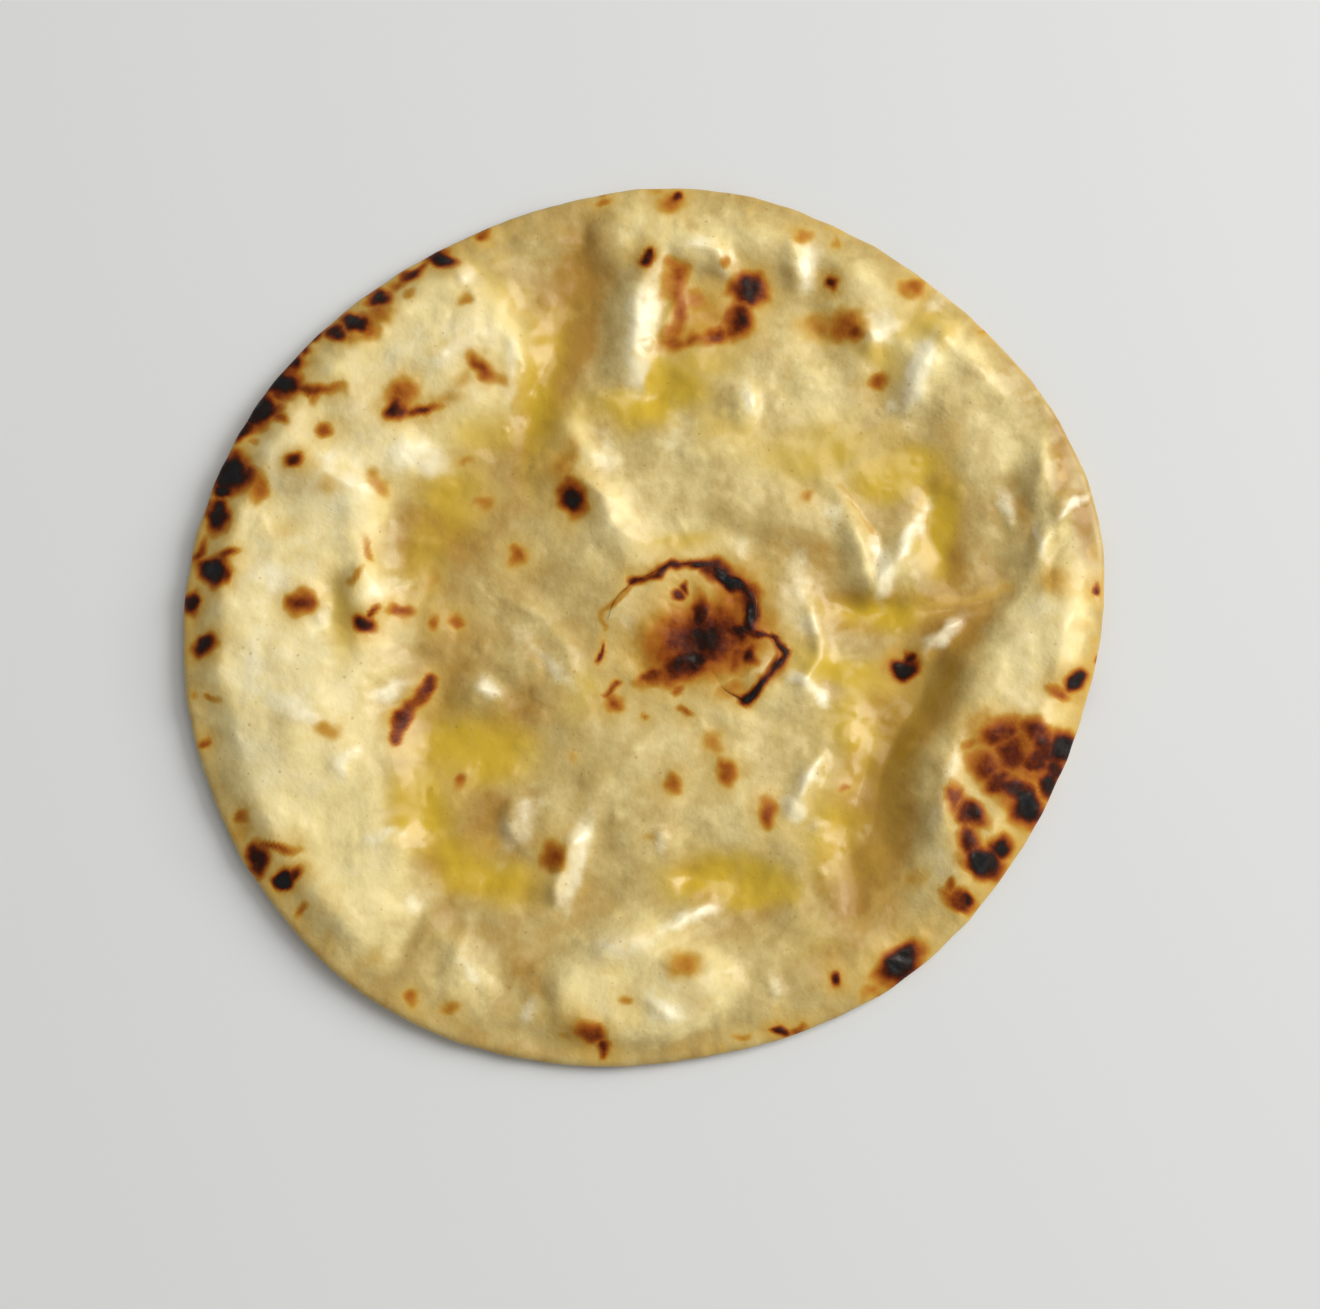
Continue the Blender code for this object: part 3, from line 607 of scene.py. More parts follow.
class ChapatiColours(bpy.types.PropertyGroup):
    """Colours of the dough, the ghee and the stage."""

    # Pale and cream paint light on the high places, and pale also paints the highlights on the crests; dough
    # and valley paint shade in the low places, along with the thinner dough's own colour.
    pale: tint("Pale", "Driest dough, on crests and blisters", (0.98, 0.95, 0.82))
    cream: tint("Cream", "Dry dough on the puffed plates", (0.925, 0.855, 0.61))
    dough: tint("Dough", "Moist dough between the plates", (0.75, 0.655, 0.405))
    valley: tint("Valley", "Thin dough in the grooves", (0.66, 0.495, 0.19))
    ghee: tint("Ghee", "Dough soaked with melted ghee", (0.81, 0.675, 0.10))
    bran: tint("Bran", "Flecks of bran in the dough", (0.60, 0.40, 0.18))
    floor: tint("Floor", "The pale floor under the bread", (0.86, 0.87, 0.88))


def linear(colour):
    """A display colour as the scene's own linear values, with full cover."""
    return (*Color(colour).from_srgb_to_scene_linear(), 1.0)


# ---- the plan of the bread -------------------------------------------------------------------


def smooth_step(value):
    """0 below 0, 1 above 1 and smooth between."""
    value = np.clip(value, 0, 1)
    return value * value * (3 - 2 * value)


def outline_share(angle):
    """Radius of the edge at an angle, as a share: the outline's shares joined by a sum of smooth waves."""
    shares = np.array(OUTLINE)
    places = np.arange(len(shares)) * math.tau / len(shares)
    edge = np.full(np.shape(angle), shares.mean())
    for count in range(1, OUTLINE_WAVES + 1):
        edge = edge + (shares * np.cos(count * places)).mean() * 2 * np.cos(count * angle)
        edge = edge + (shares * np.sin(count * places)).mean() * 2 * np.sin(count * angle)
    return edge


def plan_of_bread():
    """The bread's radius in metres and the centre of its plan, so that the outline fills the solid's box."""
    angle = np.linspace(0, math.tau, 1440)
    share = outline_share(angle)
    x, y = share * np.cos(angle), share * np.sin(angle)
    radius = (SOLID_HIGH.x - SOLID_LOW.x) / (x.max() - x.min())
    centre_x = (SOLID_HIGH.x + SOLID_LOW.x) / 2 - radius * (x.max() + x.min()) / 2
    centre_y = (SOLID_HIGH.y + SOLID_LOW.y) / 2 - radius * (y.max() + y.min()) / 2
    return radius, centre_x, centre_y


RADIUS, MIDDLE_X, MIDDLE_Y = plan_of_bread()


def soft_noise(x, y, size, seed):
    """Smooth noise, about -1 to 1, whose bumps are `size` apart."""
    level = seed * 7.31
    return np.array([noise.noise(Vector((a, b, level))) for a, b in zip(x / size, y / size)])


def drift(x, y, size, push, seed):
    """The points pushed about by smooth noise, so that nothing listed looks ruled."""
    x = x + soft_noise(x, y, size, seed) * push
    y = y + soft_noise(x, y, size, seed + 1) * push
    return x, y


def warp(x, y, slow, quick, seed):
    """The points pushed about by two noises, each given by its size and its push."""

    def pushed(first):
        slowly = soft_noise(x, y, slow[0], first) * slow[1]
        return slowly + soft_noise(x, y, quick[0], first + 1) * quick[1]

    return x + pushed(seed), y + pushed(seed + 2)


def cell_bumps(x, y, size, share, seed):
    """Round bumps from 0 to 1 at scattered places `size` apart; `share` of the places have one."""
    level = seed * 3.17
    bumps = np.zeros(len(x))
    for place, (a, b) in enumerate(zip(x / size, y / size)):
        away, points = noise.voronoi(Vector((a, b, level)))
        pick = noise.cell(points[0] * 91.7)
        if pick < share:
            reach = 0.30 + 0.35 * noise.cell(points[0] * 47.3 + Vector((5, 3, 1)))
            bumps[place] = max(0.0, 1 - (away[0] / reach) ** 2)
    return bumps


def hexagon_to_disc(x, y):
    """The share of the way out and the angle on a disc that a point of the unit hexagon takes."""
    sector = math.tau / CORNERS
    turn = np.arctan2(y, x) - CORNER_ANGLE
    corner = CORNER_ANGLE + np.floor(np.mod(turn, math.tau) / sector) * sector
    forward = x * np.cos(corner) + y * np.sin(corner)
    towards_next = (y * np.cos(corner) - x * np.sin(corner)) / math.sin(sector)
    share = forward + towards_next * (1 - math.cos(sector))
    along = np.divide(towards_next, share, out=np.zeros_like(share), where=share > 1e-6)
    return share, corner + along * sector


def oval(x, y, place):
    """The height of one soft-edged oval at each point: its centre, sizes, turn, height and softness."""
    centre_x, centre_y, length, width, turn, height, softness = place
    cosine, sine = math.cos(math.radians(turn)), math.sin(math.radians(turn))
    u = ((x - centre_x) * cosine + (y - centre_y) * sine) / length
    v = ((y - centre_y) * cosine - (x - centre_x) * sine) / width
    return height * smooth_step((1 + softness - np.hypot(u, v)) / (2 * softness))


def line_reach(x, y, points):
    """How far each point is from a line through `points`, and how far along it, from 0 to 1."""
    points = np.array(points)
    steps = np.hypot(*np.diff(points, axis=0).T)
    reached = np.concatenate(([0], np.cumsum(steps)))
    nearest = np.full(x.shape, np.inf)
    place = np.zeros(x.shape)
    for start, end, begun, step in zip(points[:-1], points[1:], reached, steps):
        run = (end - start) / step
        along = np.clip((x - start[0]) * run[0] + (y - start[1]) * run[1], 0, step)
        away = np.hypot(x - start[0] - along * run[0], y - start[1] - along * run[1])
        place = np.where(away < nearest, (begun + along) / reached[-1], place)
        nearest = np.minimum(away, nearest)
    return nearest, place


def fold_height(x, y, fold):
    """Height in mm of one ridge or groove, which fades towards both ends of its line."""
    height, width, points = fold
    nearest, place = line_reach(x, y, points)
    ends = smooth_step(place / FOLD_TAPER) * smooth_step((1 - place) / FOLD_TAPER)
    return height * np.exp(-((nearest / width) ** FOLD_SHARPNESS)) * (FOLD_END + (1 - FOLD_END) * ends)


def burn_at(x, y):
    """How scorched the crust is at each point, from 0 to 1."""
    uneven = 1 + 0.22 * soft_noise(x, y, 0.030, 15)
    x, y = warp(x, y, (0.060, 0.013), (0.024, 0.009), 11)
    burn = np.zeros(len(x))
    for centre_x, centre_y, length, width, turn, most, softness in SPOTS:
        length, width = length * SPREAD, width * SPREAD
        core = oval(x, y, (centre_x, centre_y, length, width, turn, most, softness + SPOT_BLUR))
        halo_size = length + HALO, width + HALO
        halo = oval(x, y, (centre_x, centre_y, *halo_size, turn, HALO_BURN * most, 1.0))
        burn = np.maximum(burn, np.maximum(core, halo))
    for most, width, softness, points in STREAKS:
        nearest, _ = line_reach(x, y, points)
        edge = 1 + STREAK_BLUR + softness - nearest / (width * uneven)
        core = smooth_step(edge / (2 * softness + 2 * STREAK_BLUR))
        halo = smooth_step((STREAK_HALO - nearest / (width + HALO)) / STREAK_HALO)
        burn = np.maximum(burn, most * np.maximum(core * uneven, HALO_BURN * halo))
    return np.clip(burn, 0, 1)


def crest_at(x, y):
    """How much painted highlight each point has on the pale, glossy crests, from 0 to 1."""
    x, y = drift(x, y, 0.035, 0.012, 41)
    total = np.max([oval(x, y, (*crest, CREST_SOFTNESS)) for crest in HIGHLIGHT_CRESTS], axis=0)
    return total * (1 + 0.30 * soft_noise(x, y, 0.025, 43))


def hollow_shade_at(x, y):
    """How much painted shade, with the thinner dough's colour, each point has in the low places, from 0 to 1.
    """
    x, y = drift(x, y, 0.06, 0.015, 44)
    return np.clip(sum(oval(x, y, (*hollow, HOLLOW_SOFTNESS)) for hollow in SHADED_HOLLOWS), 0, 1)


def ghee_at(x, y):
    """How much ghee has soaked into each point, from 0 to 1."""
    x, y = drift(x, y, 0.10, 0.035, 21)
    total = np.zeros(len(x))
    for centre_x, centre_y, length, width, turn, amount in GHEE:
        size = length * GHEE_SPREAD, width * GHEE_SPREAD
        total = np.maximum(total, oval(x, y, (centre_x, centre_y, *size, turn, amount, GHEE_SOFTNESS)))
    return total


# ---- the skins ------------------------------------------------------------------------------


def deselect_all():
    """Leaves nothing selected, because an operator acts on all that is."""
    for item in list(bpy.context.selected_objects):
        item.select_set(False)


def triangle_disc(name, cuts):
    """A flat six-sided disc of even triangles, one unit in radius, and the plan of its points."""
    deselect_all()
    bpy.ops.mesh.primitive_circle_add(vertices=CORNERS, radius=1, fill_type="TRIFAN", location=(0, 0, 0))
    disc = bpy.context.object
    disc.name = disc.data.name = name
    bpy.ops.object.mode_set(mode="EDIT")
    bpy.ops.mesh.select_all(action="SELECT")
    for cut in cuts:
        bpy.ops.mesh.subdivide(number_cuts=cut)
    bpy.ops.object.mode_set(mode="OBJECT")
    places = read_places(disc)
    return disc, places[:, 0], places[:, 1]


def read_places(piece):
    """The places of a mesh's points, a row for each."""
    places = np.empty(len(piece.data.vertices) * 3, np.float32)
    piece.data.vertices.foreach_get("co", places)
    return places.reshape(-1, 3).astype(float)


def write_places(piece, x, y, z):
    """Moves a mesh's points to these places."""
    piece.data.vertices.foreach_set("co", np.column_stack((x, y, z)).astype(np.float32).ravel())
    piece.data.update()


def write_values(piece, **fields):
    """Stores numbers for each point of the mesh, which the materials read by name."""
    for name, values in fields.items():
        field = piece.data.attributes.new(name, "FLOAT", "POINT")
        field.data.foreach_set("value", np.asarray(values, np.float32))


def read_values(piece, name):
    """The numbers that write_values stored under a name."""
    values = np.empty(len(piece.data.vertices), np.float32)
    piece.data.attributes[name].data.foreach_get("value", values)
    return values.astype(float)


def underside_height(share, angle, lift):
    """Height of the underside: flat over the middle, lifted in slow waves at the rim."""
    waves = sum(height * np.sin(count * angle + start) for count, height, start in RIM_WAVES)
    return (lift + waves) * np.clip((share - REST_SHARE) / (1 - REST_SHARE), 0, 1) ** 2


def relief(x, y):
    """Height in metres that the plates, lumps, folds and creases add."""
    plates = sum(oval(x, y, plate) for plate in PLATES)
    plates = plates + LUMP_HEIGHT * sum(oval(x, y, lump) for lump in LUMPS)
    folds = sum(fold_height(x + FOLD_SLIP_X, y + FOLD_SLIP_Y, fold) for fold in FOLDS)
    creases = sum(fold_height(x, y, crease) for crease in CREASES)
    return np.maximum(plates + folds + creases, DEEPEST_FOLD) / 1000


def skin_detail(x, y, shape, share):
    """Height in metres of the unevenness, wrinkles and bubbles of the upper skin."""
    height = shape.cobble * soft_noise(x, y, 0.15, 31)
    height += shape.cobble * 0.55 * soft_noise(x, y, 0.07, 32)
    folded = 1 - 2 * np.abs(soft_noise(x, y, 0.055, 33))
    height += shape.wrinkle * folded * (0.6 + 0.8 * soft_noise(x, y, 0.3, 34))
    height += shape.wrinkle * 0.25 * soft_noise(x, y, 0.026, 35)
    height += shape.bubble * cell_bumps(x, y, 0.075, 0.40, 36)
    height += shape.bubble * 0.45 * cell_bumps(x, y, 0.034, 0.35, 37)
    return height * (0.35 + 0.65 * smooth_step((1 - share) / 0.06))


def spread_skin(name, cuts, rim_rings, shape):
    """A disc whose points are spread over the bread's plan, with its last rings round the rim.

    Gives the disc, and its points' places, share of the way out, angle, turn round the rim and
    way over the skin.
    """
    disc, flat_x, flat_y = triangle_disc(name, cuts)
    ring_share, angle = hexagon_to_disc(flat_x, flat_y)
    x, y = np.cos(angle), np.sin(angle)
    rough_edge = 0.0035 * soft_noise(x * 2, y * 2, 0.35, 41) + 0.0030 * soft_noise(x, y, 0.07, 42)
    edge = RADIUS * (outline_share(angle) + rough_edge)
    rings = (cuts[0] + 1) * (cuts[1] + 1)
    ring = ring_share * rings
    level = rings - rim_rings
    inner = np.clip(ring / level, 0, 1)
    turn = np.clip((ring - level) / rim_rings, 0, 1) * RIM_TURN
    radius = inner * (edge - shape.rim_round) + shape.rim_round * np.sin(turn)
    reach = inner * (edge - shape.rim_round) + shape.rim_round * turn
    return disc, radius * x, radius * y, radius / edge, angle, turn, reach


def make_upper_skin(shape):
    """The puffed and scorched skin on top, and what its material reads of it."""
    disc, x, y, share, angle, turn, reach = spread_skin("upper_skin", TOP_CUTS, RIM_RINGS[0], shape)
    plan_x, plan_y = x / RADIUS, y / RADIUS
    margin = smooth_step((1 - share) / PUFF_MARGIN)
    raised = relief(*warp(plan_x, plan_y, (0.16, 0.030), (0.07, 0.010), 51)) * margin
    # Where the painted highlights lie on the crests, which also rise a little and take more gloss
    crest = crest_at(plan_x, plan_y)
    patches = soft_noise(plan_x, plan_y, 0.09, 61) + 0.6 * soft_noise(plan_x, plan_y, 0.03, 62)
    toast = smooth_step((patches - 0.25) / 0.5) * (TOAST + TOAST * smooth_step((share - 0.90) / 0.10))
    burn = np.maximum(burn_at(plan_x, plan_y), toast)
    char = smooth_step((burn - 0.6) / 0.35)
    blisters = char * CHAR_RISE * (0.8 + 0.9 * soft_noise(plan_x, plan_y, 0.016, 63))
    creased = RIM_CREASE * soft_noise(angle * 28, share * 9, 1.0, 64) * smooth_step((share - 0.82) / 0.16)
    height = underside_height(share, angle, shape.lift) + shape.rim + shape.pillow * (1 - share**4)
    height += raised + skin_detail(plan_x, plan_y, shape, share) + blisters + creased
    height += crest * (CREST_RISE + CREST_UNEVEN * soft_noise(plan_x, plan_y, 0.022, 65))
    height -= shape.rim / 2 * (1 - np.cos(turn))
    write_places(disc, x + MIDDLE_X, y + MIDDLE_Y, height)
    # The tone follows the height: the low places take painted shade along with the thinner dough's colour,
    # the high ones painted light, and the hollows darken it further with painted shade.
    thickness_and_shade = np.clip((raised + THIN_DEPTH) / FULL_RISE, 0, 1)
    puff = thickness_and_shade - HOLLOW_SHADE * hollow_shade_at(plan_x, plan_y)
    write_values(disc, burn=burn, ghee=ghee_at(plan_x, plan_y), crest=crest, puff=puff)
    write_values(disc, upper=np.ones(len(x)), reach=reach, around=angle)
    return disc


def make_underside(shape):
    """The flatter skin below, with the griddle's round marks on it."""
    disc, x, y, share, angle, turn, reach = spread_skin("underside", UNDER_CUTS, RIM_RINGS[1], shape)
    plan_x, plan_y = x / RADIUS, y / RADIUS
    hollow = np.clip(soft_noise(plan_x, plan_y, 0.16, 71) + 0.5 * soft_noise(plan_x, plan_y, 0.06, 72), 0, 1)
    height = underside_height(share, angle, shape.lift) + UNDER_HOLLOW * hollow
    height += shape.rim / 2 * (1 - np.cos(turn))
    spots = cell_bumps(plan_x, plan_y, 0.13, 0.55, 73)
    small = cell_bumps(plan_x, plan_y, 0.06, 0.30, 74)
    burn = np.maximum(spots * (0.75 + 0.5 * soft_noise(plan_x, plan_y, 0.2, 75)), small * 0.55)
    write_places(disc, x + MIDDLE_X, y + MIDDLE_Y, height)
    none = np.zeros(len(x))
    puff = 0.35 + 0.3 * soft_noise(plan_x, plan_y, 0.2, 76)
    write_values(disc, burn=np.clip(burn, 0, 1) * (1 - 0.8 * hollow), ghee=none, crest=none, puff=puff)
    write_values(disc, upper=none, reach=reach, around=angle)
    bpy.ops.object.mode_set(mode="EDIT")
    bpy.ops.mesh.select_all(action="SELECT")
    bpy.ops.mesh.flip_normals()
    bpy.ops.object.mode_set(mode="OBJECT")
    return disc


def read_faces(elements, field):
    """One whole number from each corner or face of a mesh."""
    values = np.empty(len(elements), np.int32)
    elements.foreach_get(field, values)
    return values


def unwrap_skins(bread):
    """Lays the upper skin and the underside out as two discs, as wide as the way over the skin."""
    mesh = bread.data
    upper = read_values(bread, "upper") > 0.5
    reach, angle = read_values(bread, "reach"), read_values(bread, "around")
    longest = reach.max() + SEAM_SPARE
    corners = read_faces(mesh.loops, "vertex_index")
    starts, counts = read_faces(mesh.polygons, "loop_start"), read_faces(mesh.polygons, "loop_total")
    any_upper = np.repeat(np.maximum.reduceat(upper[corners].astype(int), starts), counts) > 0
    out = reach[corners] + np.where(any_upper & ~upper[corners], SEAM_STRIP, 0)
    scale = np.where(any_upper, TOP_MAP[1], UNDER_MAP[1]) / longest
    centre = np.where(any_upper, TOP_MAP[0], UNDER_MAP[0])
    u = centre + out * scale * np.cos(angle[corners])
    v = centre + out * scale * np.sin(angle[corners])
    layer = mesh.uv_layers.new(name=BAKE_MAP)
    layer.uv.foreach_set("vector", np.column_stack((u, v)).astype(np.float32).ravel())


def make_bread(shape, material):
    """Joins the two skins round the rim into one closed body."""
    under = make_underside(shape)
    upper = make_upper_skin(shape)
    deselect_all()
    under.select_set(True)
    upper.select_set(True)
    bpy.context.view_layer.objects.active = upper
    bpy.ops.object.join()
    bread = bpy.context.object
    bread.name = bread.data.name = "bread"
    bpy.ops.object.mode_set(mode="EDIT")
    bpy.ops.mesh.select_mode(type="EDGE")
    bpy.ops.mesh.select_all(action="DESELECT")
    bpy.ops.mesh.select_non_manifold(
        extend=False, use_wire=False, use_multi_face=False, use_non_contiguous=False, use_verts=False
    )
    bpy.ops.mesh.bridge_edge_loops()
    bpy.ops.mesh.select_all(action="SELECT")
    bpy.ops.mesh.normals_make_consistent(inside=False)
    bpy.ops.object.mode_set(mode="OBJECT")
    bpy.ops.object.shade_smooth()
    unwrap_skins(bread)
    x, y, z = read_places(bread).T
    write_places(bread, x, y, z - z.min())
    bread.data.materials.clear()
    bread.data.materials.append(material)
    return bread


def make_blister_skin(bread, shape, material):
    """The thin skin of the burst blister, which lies on the crust and curls up at its torn edge."""
    skin, flat_x, flat_y = triangle_disc("blister_skin", BLISTER_CUTS)
    ring_share, angle = hexagon_to_disc(flat_x, flat_y)
    rim = np.array(BLISTER)
    rim_x, rim_y, lift = rim[:, 0] - BLISTER_CENTRE[0], rim[:, 1] - BLISTER_CENTRE[1], rim[:, 2]
    rim_angle = np.arctan2(rim_y, rim_x)
    order = np.argsort(rim_angle)
    rim_angle, rim_reach, lift = rim_angle[order], np.hypot(rim_x, rim_y)[order], lift[order]
    turn = np.mod(angle + math.pi, math.tau) - math.pi
    edge = np.interp(turn, rim_angle, rim_reach, period=math.tau)
    edge = edge + BLISTER_RAG * soft_noise(np.cos(angle), np.sin(angle), 0.22, 81)
    off = np.interp(turn, rim_angle, lift, period=math.tau)
    plan_x = BLISTER_CENTRE[0] + ring_share * edge * np.cos(angle)
    plan_y = BLISTER_CENTRE[1] + ring_share * edge * np.sin(angle)
    x, y = plan_x * RADIUS + MIDDLE_X, plan_y * RADIUS + MIDDLE_Y
    ground = np.array([bread.ray_cast((a, b, 0.05), (0, 0, -1))[1].z for a, b in zip(x, y)])
    stand = BLISTER_STAND + (off - BLISTER_STAND) * smooth_step((ring_share - 0.45) / 0.5)
    puckers = BLISTER_PUCKER * soft_noise(plan_x, plan_y, 0.03, 82) * ring_share
    write_places(skin, x, y, ground + (stand + puckers) / 1000)
    edge_burn = 0.55 + 0.35 * soft_noise(plan_x, plan_y, 0.05, 83)
    torn = smooth_step((off - 0.05) / 0.3) * smooth_step((ring_share - 0.90) / 0.07)
    burn = np.maximum(burn_at(plan_x, plan_y), torn * edge_burn)
    # Painted highlight on the torn edge, and painted light on the skin's left part where shade falls; the
    # skin's tone is kept high for the same reason.
    lip_highlight = oval(plan_x, plan_y, (0.255, -0.120, 0.024, 0.040, 24, 0.9, 0.6))
    painted_light_patch = oval(plan_x, plan_y, (-0.02, -0.01, 0.06, 0.08, 0, 0.5, 0.8))
    puff = 0.70 + 0.2 * soft_noise(plan_x, plan_y, 0.08, 84)
    write_values(skin, burn=burn, ghee=np.full(len(x), 0.1), crest=np.maximum(lip_highlight, painted_light_patch), puff=puff)
    deselect_all()
    skin.select_set(True)
    bpy.context.view_layer.objects.active = skin
    solid = skin.modifiers.new("thickness", "SOLIDIFY")
    solid.thickness = shape.flake
    solid.offset = -1
    bpy.ops.object.modifier_apply(modifier="thickness")
    bpy.ops.object.shade_smooth()
    skin.data.materials.clear()
    skin.data.materials.append(material)
    return skin


# ---- materials ------------------------------------------------------------------------------


class Wiring:
    """Builds one node tree, a node at a time, in rows from left to right."""

    ROW, ACROSS, DOWN = 9, 190, 330  # nodes in a row, and the steps between them

    def __init__(self, tree):
        self.tree = tree
        self.count = 0

    def node(self, kind, settings=None, **inputs):
        """A new node with these settings, and a value or a link in each named input."""
        made = self.tree.nodes.new(kind)
        row, place = divmod(self.count, self.ROW)
        made.location = (place * self.ACROSS, -row * self.DOWN)
        self.count += 1
        for name, value in (settings or {}).items():
            setattr(made, name, value)
        for name, value in inputs.items():
            self.feed(made.inputs[name.replace("_", " ")], value)
        return made

    def feed(self, socket, value):
        """Links a socket to another one, or sets its value."""
        if isinstance(value, bpy.types.NodeSocket):
            self.tree.links.new(value, socket)
        else:
            socket.default_value = value

    def calc(self, operation, *values, clamp=False):
        """One sum on numbers or sockets, kept between 0 and 1 when `clamp` is set."""
        made = self.node("ShaderNodeMath", {"operation": operation, "use_clamp": clamp})
        for socket, value in zip(made.inputs, values):
            self.feed(socket, value)
        return made.outputs[0]

    def step(self, value, low, high):
        """0 below `low`, 1 above `high` and smooth between."""
        made = self.node("ShaderNodeMapRange", {"interpolation_type": "SMOOTHSTEP"}, Value=value)
        made.inputs["From Min"].default_value = low
        made.inputs["From Max"].default_value = high
        return made.outputs[0]

    def mix(self, factor, first, second):
        """The first colour at factor 0 and the second at 1."""
        made = self.node("ShaderNodeMix", {"data_type": "RGBA"})
        for place, value in ((0, factor), (6, first), (7, second)):
            self.feed(made.inputs[place], value)
        return made.outputs[2]

    def noise(self, vector, scale, detail, roughness, distortion=0.0):
        """Noise from 0 to 1, with `scale` bumps to the metre."""
        made = self.node("ShaderNodeTexNoise", Vector=vector, Scale=scale, Detail=detail)
        made.inputs["Roughness"].default_value = roughness
        made.inputs["Distortion"].default_value = distortion
        return made.outputs[0]

    def ramp(self, value, stops):
        """The colour at `value` between display colours set at these places."""
        made = self.node("ShaderNodeValToRGB", Fac=value)
        band = made.color_ramp
        band.elements[0].position, band.elements[1].position = stops[0][0], stops[-1][0]
        for place, _ in stops[1:-1]:
            band.elements.new(place)
        for element, (_, colour) in zip(band.elements, stops):
            element.color = linear(colour)
        return made.outputs[0]


def group(name, inputs, outputs):
    """A new shader node group with these sockets: its wiring, its input sockets and its output node."""
    tree = bpy.data.node_groups.new(name, "ShaderNodeTree")
    kinds = {"value": "NodeSocketFloat", "colour": "NodeSocketColor", "vector": "NodeSocketVector"}
    for side, sockets in (("INPUT", inputs), ("OUTPUT", outputs)):
        for label, kind in sockets:
            tree.interface.new_socket(name=label, in_out=side, socket_type=kinds[kind])
    wiring = Wiring(tree)
    entry = tree.nodes.new("NodeGroupInput")
    entry.location = (-260, 0)
    leave = tree.nodes.new("NodeGroupOutput")
    leave.location = (1900, 0)
    return wiring, entry.outputs, leave


def dough_tone_group():
    """Cream and pale on the puffed plates and duller in the low places, as painted light and shade by height
    together with the dough's own tones; yellow where the ghee has soaked in, and painted highlights on the
    crests.

    The tone runs from 0.5 in the grooves to 2.2 on the highest, palest dough.
    """
    wiring, given, leave = group(
        "Dough Tone",
        [("Vector", "vector"), ("Puff", "value"), ("Ghee", "value"), ("Crest", "value")]
        + [(label, "colour") for label in ("Pale", "Cream", "Dough", "Valley", "Ghee Colour")],
        [("Color", "colour"), ("Wet", "value"), ("Crest", "value")],
    )
    slow = wiring.noise(given["Vector"], 55.0, 3.0, 0.55)
    quick = wiring.noise(given["Vector"], 240.0, 4.0, 0.6)
    tone = wiring.calc("MULTIPLY_ADD", slow, 0.55, given["Puff"])
    tone = wiring.calc("MULTIPLY_ADD", quick, 0.70, tone)
    # Painted light and shade by height: the low places turn towards valley brown, which stands for shade in
    # the grooves as well as the thinner dough's own colour, and the high ones towards cream and pale.
    colour = wiring.mix(wiring.step(tone, 0.50, 1.05), given["Valley"], given["Dough"])
    colour = wiring.mix(wiring.step(tone, 0.90, 1.50), colour, given["Cream"])
    colour = wiring.mix(wiring.step(tone, 1.40, 2.20), colour, given["Pale"])
    cloud = wiring.step(wiring.noise(given["Vector"], 88.0, 3.0, 0.55, 0.4), 0.50, 0.78)
    colour = wiring.mix(wiring.calc("MULTIPLY", cloud, 0.42), colour, given["Valley"])
    soaked = wiring.calc("MULTIPLY_ADD", quick, 0.35, given["Ghee"])
    soaked = wiring.calc("MULTIPLY_ADD", slow, 0.45, soaked)
    wet = wiring.step(soaked, 0.45, 1.30)
    colour = wiring.mix(wiring.calc("MULTIPLY", wet, 0.88), colour, given["Ghee Colour"])
    # Painted highlight: the listed crests are mixed towards pale.
    crest = wiring.step(wiring.calc("MULTIPLY_ADD", quick, 0.70, given["Crest"]), 0.42, 1.30)
    colour = wiring.mix(wiring.calc("MULTIPLY", crest, 0.78), colour, given["Pale"])
    wiring.feed(leave.inputs["Color"], colour)
    wiring.feed(leave.inputs["Wet"], wet)
    wiring.feed(leave.inputs["Crest"], crest)


def scorch_group():
    """Lays tan, brown and black over a colour as the burn grows."""
    wiring, given, leave = group(
        "Scorch Colour",
        [("Vector", "vector"), ("Burn", "value"), ("Color", "colour")],
        [("Color", "colour"), ("Toast", "value"), ("Char", "value")],
    )
    grain = wiring.noise(given["Vector"], 900.0, 4.0, 0.6)
    patch = wiring.noise(given["Vector"], 320.0, 2.0, 0.5)
    uneven = wiring.calc("MULTIPLY_ADD", grain, 0.25, 0.66)
    uneven = wiring.calc("MULTIPLY_ADD", patch, 0.40, uneven)
    burn = wiring.calc("MULTIPLY", given["Burn"], uneven, clamp=True)
    stops = (
        (0.00, (0.87, 0.75, 0.46)),
        (0.15, (0.82, 0.68, 0.34)),
        (0.30, (0.75, 0.57, 0.22)),
        (0.45, (0.69, 0.43, 0.12)),
        (0.60, (0.57, 0.28, 0.05)),
        (0.74, (0.37, 0.13, 0.015)),
        (0.86, (0.17, 0.06, 0.015)),
        (0.95, (0.075, 0.04, 0.02)),
        (1.00, (0.055, 0.06, 0.072)),
    )
    crust = wiring.ramp(burn, stops)
    cover = wiring.step(burn, -0.04, 0.32)
    wiring.feed(leave.inputs["Color"], wiring.mix(cover, given["Color"], crust))
    wiring.feed(leave.inputs["Toast"], wiring.step(burn, 0.10, 0.50))
    wiring.feed(leave.inputs["Char"], wiring.step(burn, 0.82, 1.0))


